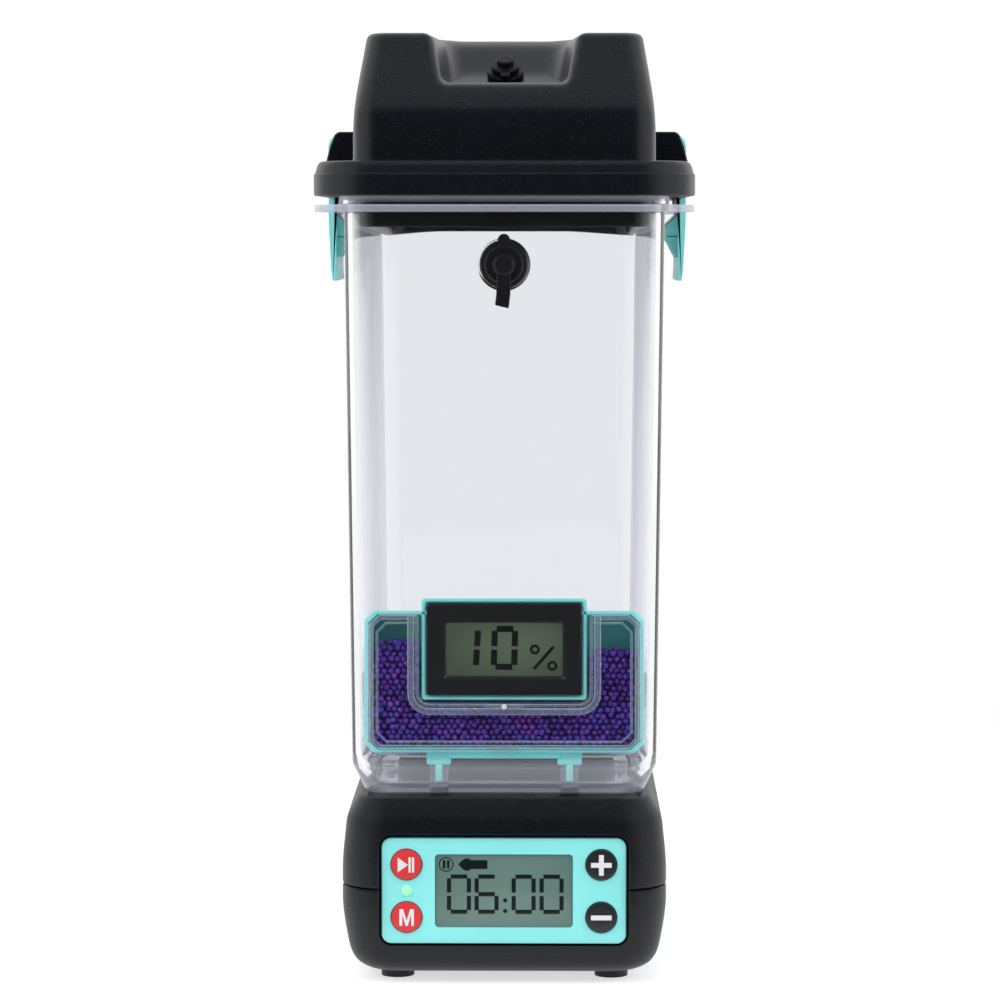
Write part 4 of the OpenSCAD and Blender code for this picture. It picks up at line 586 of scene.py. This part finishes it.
u_plate = np.concatenate([
    [(-39.0, 114.7), (-41.8, 111.9), (-41.8, 75.5), (-39.0, 72.7), (39.0, 72.7), (41.8, 75.5), (41.8, 111.9),
     (39.0, 114.7)], u_edge(26.2, 87.4, 3.0, 114.7)])
cover = make("clear_cover_plate", flat(u_plate, -109.05, 1.5), sharp=30)
seat(bevel(cover, 0.3, 2), "desiccant_box", "clear_plastic", cover_clear, "desiccant_cover")
cover_y = -110.5
ribs = make("clear_cover_ribs",
            strip(u_edge(27.0, 86.6, 3.7, 114.4), 0.9, 0.9, cover_y),
            strip(u_edge(28.9, 84.7, 5.6, 114.4), 2.1, 1.2, cover_y),
            strip(outer_edge(1.9), 1.6, 0.9, cover_y), strip(outer_edge(3.7), 0.7, 0.7, cover_y),
            *[block((s * 41.2 - 0.5, -112.2, 90.3), (s * 41.2 + 0.5, -110.4, 97.6)) for s in (-1, 1)],
            block((-5.8, -111.9, 85.6), (6.2, -110.4, 86.9)), block((-4.2, -111.9, 72.4), (4.2, -110.4, 73.6)))
frosted = edge_clear.copy()
frosted.name = "clear_cover_edges"
ramp(frosted, "tone", (0.3, (0.70, 0.93, 0.97)), (0.7, (0.82, 0.92, 1.0)))
dial(frosted, {"solid.To Min": 0.10})
seat(ribs, "desiccant_box", "clear_plastic", frosted)
snap = make("cover_snap", lathe([(0.85, -110.4), (0.85, -112.1), (0.5, -112.5), (0.1, -112.55)], (0, 0, 86.2),
                                steps=20))
seat(snap, "desiccant_box", "clear_plastic", white_print)

# The beads lie in three staggered layers. Each has its own size, and a tone that drifts in soft patches.
rng = np.random.default_rng(7)
bead_mm, places = 2.0, []
for layer, y in enumerate((-108.0, -106.4, -104.8)):
    gx, gz = np.meshgrid(np.arange(-40.2, 40.3, bead_mm), np.arange(74.5, 108, bead_mm * 0.87))
    gx = gx + (np.arange(gx.shape[0])[:, None] % 2) * bead_mm / 2 + layer * 0.6
    places.append(np.stack([gx.ravel(), np.full(gx.size, y), gz.ravel()], 1))
places = np.concatenate(places) + rng.normal(0, 0.2, (sum(len(p) for p in places), 3))
x, z = places[:, 0], places[:, 2]
fill_z = np.where(x < 0, 106.0, 103.4) + rng.normal(0, 0.5, len(x))
keep = (np.abs(x) < 40.3) & (z > 74.3) & (z < fill_z) & ~((np.abs(x) < 27.2) & (z > 86.2))
keep &= np.abs(x) + np.maximum(0, 76.5 - z) < 40.6
places = places[keep]
lat, lon = np.radians(np.array([-52, 0, 52.0])), np.radians(np.arange(0, 360, 60.0))
ball = np.stack([np.cos(lat)[:, None] * np.cos(lon), np.cos(lat)[:, None] * np.sin(lon),
                 np.sin(lat)[:, None] + 0 * lon], -1)
ball_points, ball_quads, ball_caps = shell(ball)
radius = bead_mm / 2 * rng.uniform(0.85, 1.15, (len(places), 1, 1))
cloud = (places[:, None] + ball_points * radius).reshape(-1, 3)
offsets = np.arange(len(places))[:, None, None] * len(ball_points)
bead_faces = (ball_quads + offsets).reshape(-1, 4).tolist() + np.concatenate(
    [cap + offsets[:, 0] for cap in ball_caps]).tolist()
bead_mesh = bpy.data.meshes.new("silica_bead_fill")
bead_mesh.from_pydata((cloud * 0.001).tolist(), [], bead_faces)
bead_mesh.shade_smooth()
x, z = places[:, 0], places[:, 2]
blotch = 0.5 + 0.25 * np.sin(0.31 * x + 0.8 * np.sin(0.23 * z)) + 0.25 * np.sin(0.47 * z + 0.19 * x)
tones = 0.45 * blotch + 0.55 * rng.random(len(places))
bead_mesh.attributes.new("bead_tone", "FLOAT", "POINT").data.foreach_set(
    "value", np.repeat(tones, len(ball_points)).astype(np.float32))
beads = bpy.data.objects.new("silica_bead_fill", bead_mesh)
bpy.context.scene.collection.objects.link(beads)
gel = bpy.data.materials.new("silica_gel")
gel.use_nodes = True
add_nodes(gel, tone="Attribute", dye="ValToRGB", where="TexCoord", frost="TexNoise", press="Bump")
gel.node_tree.nodes["tone"].attribute_name = "bead_tone"
ramp(gel, "dye", (0.0, (0.045, 0.012, 0.20)), (0.3, (0.075, 0.018, 0.30)), (0.55, (0.14, 0.03, 0.38)),
     (0.72, (0.06, 0.05, 0.42)), (0.85, (0.20, 0.035, 0.42)), (1.0, (0.34, 0.05, 0.46)))
dial(gel, {"frost.Scale": 900, "press.Strength": 0.3, "press.Distance": 0.0002,
           "Principled BSDF.Roughness": 0.3, "Principled BSDF.Coat Weight": 0.3})
wire(gel, "tone.Fac > dye.Fac", "dye.Color > Principled BSDF.Base Color", "where.Object > frost.Vector",
     "frost.0 > press.Height", "press.Normal > Principled BSDF.Normal")
seat(beads, "desiccant_box", "silica_gel", gel, "silica_beads")
# Behind the layers a plain core fills the rest of the chamber.
core = make("silica_bead_core", block((-39.6, -104.6, 74.6), (39.6, -90.6, 85.8)),
            block((-39.6, -104.6, 85.8), (-27.8, -90.6, 104.6)), block((27.8, -104.6, 85.8), (39.6, -90.6, 102.0)))
seat(core, "desiccant_box", "silica_gel", gel)

meter_black = moulded("hygrometer_black", (0.010, 0.011, 0.013), 0.38, grain=0.2, grain_mm=0.5, shade=0.1)
meter_y, meter_z = -110.5, 104
case = make("hygrometer_bezel", shell(upright(rings([
    (22.8, 13.1, 0.8, -14.0), (22.8, 13.1, 0.8, -2.2), (24.0, 14.3, 0.8, -2.2), (24.0, 14.3, 0.8, -0.5),
    (23.6, 13.9, 0.7, 0), (18.9, 9.2, 0.8, 0), (18.2, 8.45, 0.6, -0.8), (18.2, 8.45, 0.6, -1.4)]),
    -111.2, meter_z)), sharp=30)
seat(case, "desiccant_box", "button_black", meter_black, "hygrometer_case")
# The darker of the two tones is painted shade at the edges of the glass.
meter_glass = lcd("hygrometer_glass", (0.118, 0.155, 0.100), (0.070, 0.095, 0.062), (0.002, -0.1105, 0.104),
                  (0.026, 0.03, 0.015))
screen = make("hygrometer_glass_plate", plate(36.3, 16.8, 0.6, meter_y, -108.3, meter_z, edge=0.1))
seat(screen, "desiccant_box", "display_grey", meter_glass, "hygrometer_display")
meter_ink = moulded("hygrometer_ink", (0.006, 0.008, 0.007), 0.3, grain=0.0, shade=0.1)
reading = make("hygrometer_reading",
               *seven(-8.4, 104.5, 0.01, 11.8, "bc", meter_y, 1.9, 0.06),
               *seven(0.1, 104.5, 6.3, 11.8, "abcdef", meter_y, 1.9, 0.03),
               *[strip(circle(x, z, 1.15), 0.85, 0.06, meter_y, True) for x, z in ((9.5, 104.0), (14.9, 98.9))],
               strip([(9.2, 97.9), (15.3, 104.9)], 1.0, 0.06, meter_y))
seat(reading, "desiccant_box", "display_grey", meter_ink)


# ---------- Lid ----------
# Moulded in black ABS, 2.3 mm thick: a band that covers the tub's flange, an upright block, a sloping crown that
# gives the spool its head room, and a hand notch whose sloping back carries the second filament port.
# spark adds painted highlights: pale points in the base colour where the grain would catch the light.
lid_black = moulded("lid_plastic", (0.0045, 0.0052, 0.0085), 0.34, grain=0.22, grain_mm=0.6, spark=0.012)
block_top, crown_top, side_lean, end_lean = 270.2, 294.4, 0.1537, 0.651
notch_z, notch_half, notch_back = 278.7, 19.4, -75.3
notch_side = lambda y, z: notch_half + 0.25 * (z - notch_z) - 0.075 * (y + 108.6)


def meet(a, b, r):
    """Rounded corner of two half spaces with signed distances a and b:
    min(-r, max(a, b)) + length of (max(a + r, 0), max(b + r, 0))."""
    return np.minimum(-r, np.maximum(a, b)) + np.hypot(np.maximum(a + r, 0), np.maximum(b + r, 0))


def crown(p):
    """Signed distance to the lid's block and crown with the hand notch taken out, all edges rounded."""
    x, y, z = np.abs(p[..., 0]), p[..., 1], p[..., 2]
    up, end = z - block_top, np.abs(y)
    slopes = meet((x - 46.5 + side_lean * up) * 0.988, (end - 114.1 + end_lean * up) * 0.838, 7)
    body = meet(meet(meet(x - 46.6, end - 114.2, 8), slopes, 1.2), z - crown_top, 1.9)
    sides = (x - notch_side(y, z)) * 0.967
    hollow = meet(meet(sides, notch_z - z, 1.8), 0.5474 * (y - notch_back) - 0.8369 * (z - notch_z), 5)
    return meet(body, -hollow, 3)


def settle(p, level, rounds=10):
    """Newton steps p - (f - level) g / |g|^2 with g the gradient of crown, so that p ends on the level's surface."""
    for _ in range(rounds):
        f = crown(p) - level
        g = np.stack([(crown(p + d) - crown(p - d)) / 0.02 for d in np.eye(3) * 0.01], -1)
        p = p - np.clip(f, -1.5, 1.5)[..., None] * g / np.maximum((g * g).sum(-1, keepdims=True), 0.2)
    return p


ease = lambda count: (1 - np.cos(np.pi * np.linspace(0, 1, count))) / 2


def front_path(half_w, half_l, r, z, share):
    """Front side of a ring, from its left to its right corner: a straight line where share is 0, and where it is 1
    the line that runs along the notch's side, back and other side at that height."""
    t, u = ease(20)[1:], ease(26)[1:]
    lead = 1 - (1 - np.linspace(0, 1, 14)[1:]) ** 2
    front_y, back_y = -half_l, notch_back + (z - notch_z) * 24 / 15.7
    side, wide, near = half_w - r, notch_side(front_y, z), notch_side(back_y, z)
    straight = np.concatenate([-side + (side - notch_half) * lead, -notch_half + 4.8 * t, -14.6 + 29.2 * u,
                               14.6 + 4.8 * t, notch_half + (side - notch_half) * (1 - lead[-2::-1])])
    cut = np.concatenate([-side + (side - wide) * lead, -wide + (wide - near) * t, -near + 2 * near * u,
                          near + (wide - near) * t, wide + (side - wide) * (1 - lead[-2::-1])])
    depth = np.concatenate([0 * lead, t, 0 * u + 1, 1 - t, 0 * lead[1:]]) * (back_y - front_y)
    return np.stack([(1 - share) * straight + share * cut, front_y + share * depth, z + 0 * cut], 1)


def lid_rings(rows):
    """Rings of the lid for rows (half width, half length, corner radius, height, share of the notch)."""
    corners = rings([row[:4] for row in rows])
    return np.stack([np.concatenate([ring[:39], front_path(*row), ring[39:]]) for ring, row in zip(corners, rows)])


def crown_rows(heights, share):
    """Rows of the block and crown at these heights, before their edges are rounded."""
    up = np.maximum(np.asarray(heights, float) - block_top, 0)
    return [(46.6 - side_lean * u, 114.2 - end_lean * u, 8 - 0.04 * u, h, share) for u, h in zip(up, heights)]


foot_rows = crown_rows([255.6, 258, 262, 266, 269, 269.7, 270.0, 270.2, 270.4, 270.7, 271.5, 274.5, 276.5, 277.6,
                        278.2, 278.7], 0)
floor_rows = [crown_rows([278.71 + 0.02 * k], s)[0] for k, s in enumerate(
    (0.012, 0.025, 0.045, 0.07, 0.1, 0.16, 0.28, 0.45, 0.62, 0.76, 0.86, 0.91, 0.945, 0.97, 0.985, 1.0))]
notch_rows = crown_rows([279.1, 279.5, 280.2, 281.2, 282.4, 284, 286, 288, 290, 291.4, 292.4, 293.1, 293.7, 294.1,
                         294.4], 1)
sides = lid_rings(foot_rows + floor_rows + notch_rows)
edge = sides[-1]
along = np.roll(edge, -1, 0) - np.roll(edge, 1, 0)
inward = np.stack([-along[:, 1], along[:, 0]], 1) / np.maximum(np.hypot(along[:, 0], along[:, 1]), 1e-9)[:, None]
top = np.stack([edge + np.c_[inward * d, 0 * edge[:, 0]] for d in (0.4, 0.9, 1.4, 1.9, 2.4)])
outer = settle(np.concatenate([sides, top]), 0.0)
# The inside is a plain room behind the notch that widens below it to the whole block.
room_z = np.array([291.6, 291.0, 288, 284, 280, 276.6, 276.2])
room_back, room_front = 111.4 - end_lean * (room_z - block_top), -70.9 + 1.5287 * (room_z - notch_z)
tuck = np.array([3, 1, 0, 0, 0, 0, 0])
inner = lid_rings(np.c_[44.0 - side_lean * (room_z - block_top) - tuck, (room_back - room_front) / 2 - tuck,
                        0 * room_z + 6, room_z, 0 * room_z])
inner += (np.array([(0, 1, 0)]) * ((room_back + room_front) / 2)[:, None])[:, None]
inner = np.concatenate([inner, lid_rings([(42.9, 107.2, 6, 276.2, 0), (43.2, 108.4, 6, 275.4, 0),
                                          (44.0, 111.4, 6, 270.2, 0), (44.2, 111.8, 5.8, 262, 0)])])
# The band: a skirt inside the tub's rim, the groove for the seal, and the outside with its fine crease.
band_rows = np.concatenate([
    [(44.3, 111.9, 5.7, 255.0), (43.0, 110.6, 6.3, 252.5), (43.0, 110.6, 6.3, 235.2), (43.4, 110.9, 6.5, 234.5),
     (44.9, 112.5, 6.9, 234.5), (45.3, 112.9, 7.0, 235.2), (45.3, 112.9, 7.0, 243.9), (47.8, 115.4, 8.4, 243.9),
     (47.8, 115.4, 8.4, 247.2), (51.3, 118.9, 11.9, 247.2), (51.3, 118.9, 11.9, 243.9)],
    soften([(51.3, 118.9, 11.9, 243.9), (58.7, 126.3, 19.3, 243.9), (58.7, 126.3, 19.3, 250.4),
            (58.3, 125.9, 18.9, 250.7), (57.2, 124.8, 17.8, 254.5), (46.7, 114.3, 8.1, 254.5),
            (46.6, 114.2, 8, 255.6)], (0, 0.9, 0.15, 0.15, 2.6, 0.8, 0))[1:-1]])
band = lid_rings(np.c_[band_rows, np.zeros(len(band_rows))])
tilt, lid_port = radians(33.1914), (0, -71.22, 281.37)
lean = np.array([[1, 0, 0], [0, np.cos(tilt), -np.sin(tilt)], [0, np.sin(tilt), np.cos(tilt)]])
at_port = lambda part: (part[0] @ lean.T + lid_port, part[1], part[2])
points, quads, (low_cap, high_cap) = shell(np.concatenate([inner, band, outer]))
flat_top = [[(x, y, 0) for x, y, _ in points[high_cap].tolist()]]
top_faces = [high_cap[sorted(three)] for three in tessellate_polygon(flat_top)]
lid = make("lid_shell_with_notch", (points, quads, [low_cap] + top_faces), sharp=40)
carve(lid,
      make("left_gap", block((-90, -22.1, 240), (-56.2, 22.1, 256))),
      make("right_gap", block((56.2, -22.1, 240), (90, 22.1, 256))),
      make("port_bore", at_port(lathe([(3.7, -12), (3.7, 12)], (0, 0, 0), "z"))))
seat(lid, "lid", "lid_plastic", lid_black, "lid_shell")


# ---------- Latches, hinge ears and port plugs ----------
# Two turquoise latches swing on steel pins between black ears on the lid's band and hook under the tub's flange.
# The two filament ports are closed by soft rubber stoppers with a knob and a pull strap.
def side_prism(profile, y0, y1, mirror=1):
    """Prism of an (x, z) outline between two depths, mirrored to the left where mirror is -1."""
    return prism(np.asarray(profile, float) * (mirror, 1), y0, y1)


ear = [(45.7, 253.5), (59.35, 253.5), (59.35, 256.0), (58.1, 261.0), (56.7, 264.6), (55.4, 265.6), (45.7, 265.6)]
ears = make("hinge_ears", *[side_prism(ear, s * 22.1, s * 29.6, m) for s in (-1, 1) for m in (-1, 1)])
seat(bevel(ears, 0.6), "lid", "lid_plastic", lid_black)
hinge_x, hinge_z, latch_half = 55.7, 261.4, 21.5
pivot = [(3.0, -latch_half), (3.4, -21.1), (3.4, 21.1), (3.0, latch_half)]
lever = [(56.5, 260.4), (55.7, 259.7), (59.1, 261.4), (59.1, 236.0), (58.3, 220.7), (57.8, 216.7), (56.2, 216.7),
         (56.5, 221.7)]
hook = [(57.0, 238.6), (56.5, 238.6), (52.6, 234.7), (52.6, 231.0), (57.0, 231.0)]
rib = [(52.6, 231.5), (57.0, 231.5), (57.0, 223.0)]
for name, m in (("left_latch", -1), ("right_latch", 1)):
    latch = make(name + "_lever", lathe(pivot, (m * hinge_x, 0, hinge_z)),
                 side_prism(lever, -latch_half, latch_half, m), side_prism(hook, -18, 18, m),
                 *[side_prism(rib, y, y + 1.6, m) for y in (-18, -9.4, -0.8, 7.8, 16.4)])
    seat(bevel(latch, 0.35, 2), name, "latch_plastic", turquoise, name)

rubber = moulded("black_rubber", (0.006, 0.006, 0.0075), 0.5, grain=0.3, grain_mm=0.9)
front_stopper = make(
    "front_plug_cap",
    lathe([(2.0, -108.2), (2.0, -118.1), (6.9, -118.1), (7.3, -118.5), (7.3, -119.7), (6.9, -120.1), (5.9, -120.1),
           (5.7, -120.6), (3.3, -120.6), (3.3, -122.0), (2.9, -122.6), (2.2, -122.7)], front_port, steps=64),
    lathe([(1.9, -118.1), (1.9, -120.2), (1.5, -120.5)], (0, 0, 230.4)),
    prism([(-2.2, 222), (2.1, 222), (2.0, 214), (1.5, 209.6), (-2.7, 210.6), (-2.3, 214)], -120.2, -121.9))
seat(bevel(front_stopper, 0.3, 2, 40), "front_port_plug", "black_rubber", rubber, "front_port_plug")
lid_stopper = make(
    "lid_plug_cap",
    at_port(lathe([(2.0, -3.3), (2.0, 3.3), (4.2, 3.3), (4.4, 3.6), (4.4, 4.6), (4.1, 4.9), (2.7, 4.9), (2.6, 6.8),
                   (2.3, 7.1)], (0, 0, 0), "z", 48)),
    at_port(block((-1.4, -6.6, 3.7), (1.4, -2.6, 4.9))))
seat(bevel(lid_stopper, 0.25, 2, 40), "lid_port_plug", "black_rubber", rubber, "lid_port_plug")
collar = make("lid_port_collar", at_port(lathe([(3.6, -1.5), (5.8, -1.5), (5.8, 2.5), (5.4, 3.0), (3.6, 3.0)],
                                              (0, 0, 0), "z", 48, loop=True)))
seat(collar, "lid", "lid_plastic", lid_black)


# ---------- What works inside: boards, fan, heater, rollers, valves ----------
# These pieces keep their machined shapes and only get their finish: green circuit board, steel, rubber, silicone,
# clear and dark mouldings, ceramic and bare aluminium.
def metal(name, colour, rough):
    """Bare metal with a faint fine grain in its bump."""
    m = moulded(name, colour, rough, grain=0.1, grain_mm=0.3, shade=0.06)
    dial(m, {"Principled BSDF.Metallic": 1.0})
    return m


insert_clear = clear.copy()
insert_clear.name = "clear_insert_plastic"
finishes = {
    "circuit_board": moulded("circuit_board", (0.012, 0.09, 0.04), 0.35, grain=0.2, grain_mm=1.4, shade=0.25),
    "cable_grey": moulded("cable_grey", (0.42, 0.43, 0.45), 0.5, grain=0.3, grain_mm=1.0),
    "lead_red": moulded("lead_red", (0.42, 0.02, 0.02), 0.45),
    "fan_plastic": moulded("fan_plastic", (0.015, 0.015, 0.017), 0.4),
    "duct_plastic": moulded("duct_plastic", (0.30, 0.30, 0.31), 0.45),
    "heater_ceramic": moulded("heater_ceramic", (0.72, 0.70, 0.66), 0.6),
    "heater_aluminium": metal("heater_aluminium", (0.80, 0.81, 0.83), 0.35),
    "steel": metal("steel", (0.62, 0.63, 0.65), 0.25),
    "black_rubber": rubber,
    "black_plastic": black,
    "lid_plastic": lid_black,
    "seal_silicone": moulded("seal_silicone", (0.10, 0.105, 0.11), 0.5, grain=0.2),
    "valve_plastic": moulded("valve_plastic", (0.30, 0.31, 0.33), 0.4),
    "roller_plastic": moulded("roller_plastic", (0.035, 0.037, 0.042), 0.35, grain=0.15),
    "clear_plastic": insert_clear,
}
slot_of = {part["node"]: part["material_slot"] for part in frame["record"]["subparts"]}
for node in (
    "display_module", "control_board", "ribbon_cable", "main_board", "power_leads", "fan_housing", "fan_impeller",
    "air_duct", "heater_frame", "heater_fins", "temperature_probe", "port_gaskets", "power_socket", "rubber_feet",
    "dock_screws",
    "roller_cradle", "roller_axles", "front_roller", "rear_roller", "front_roller_bearings", "rear_roller_bearings",
    "valve_cages", "supply_valve", "return_valve", "supply_valve_seal", "return_valve_seal", "supply_valve_spring",
    "return_valve_spring", "front_port_fitting", "hygrometer_board", "button_cells", "lid_seal", "lid_port_fitting",
    "latch_pins",
):
    cad[node].data.materials.clear()
    cad[node].data.materials.append(finishes[slot_of[node]])
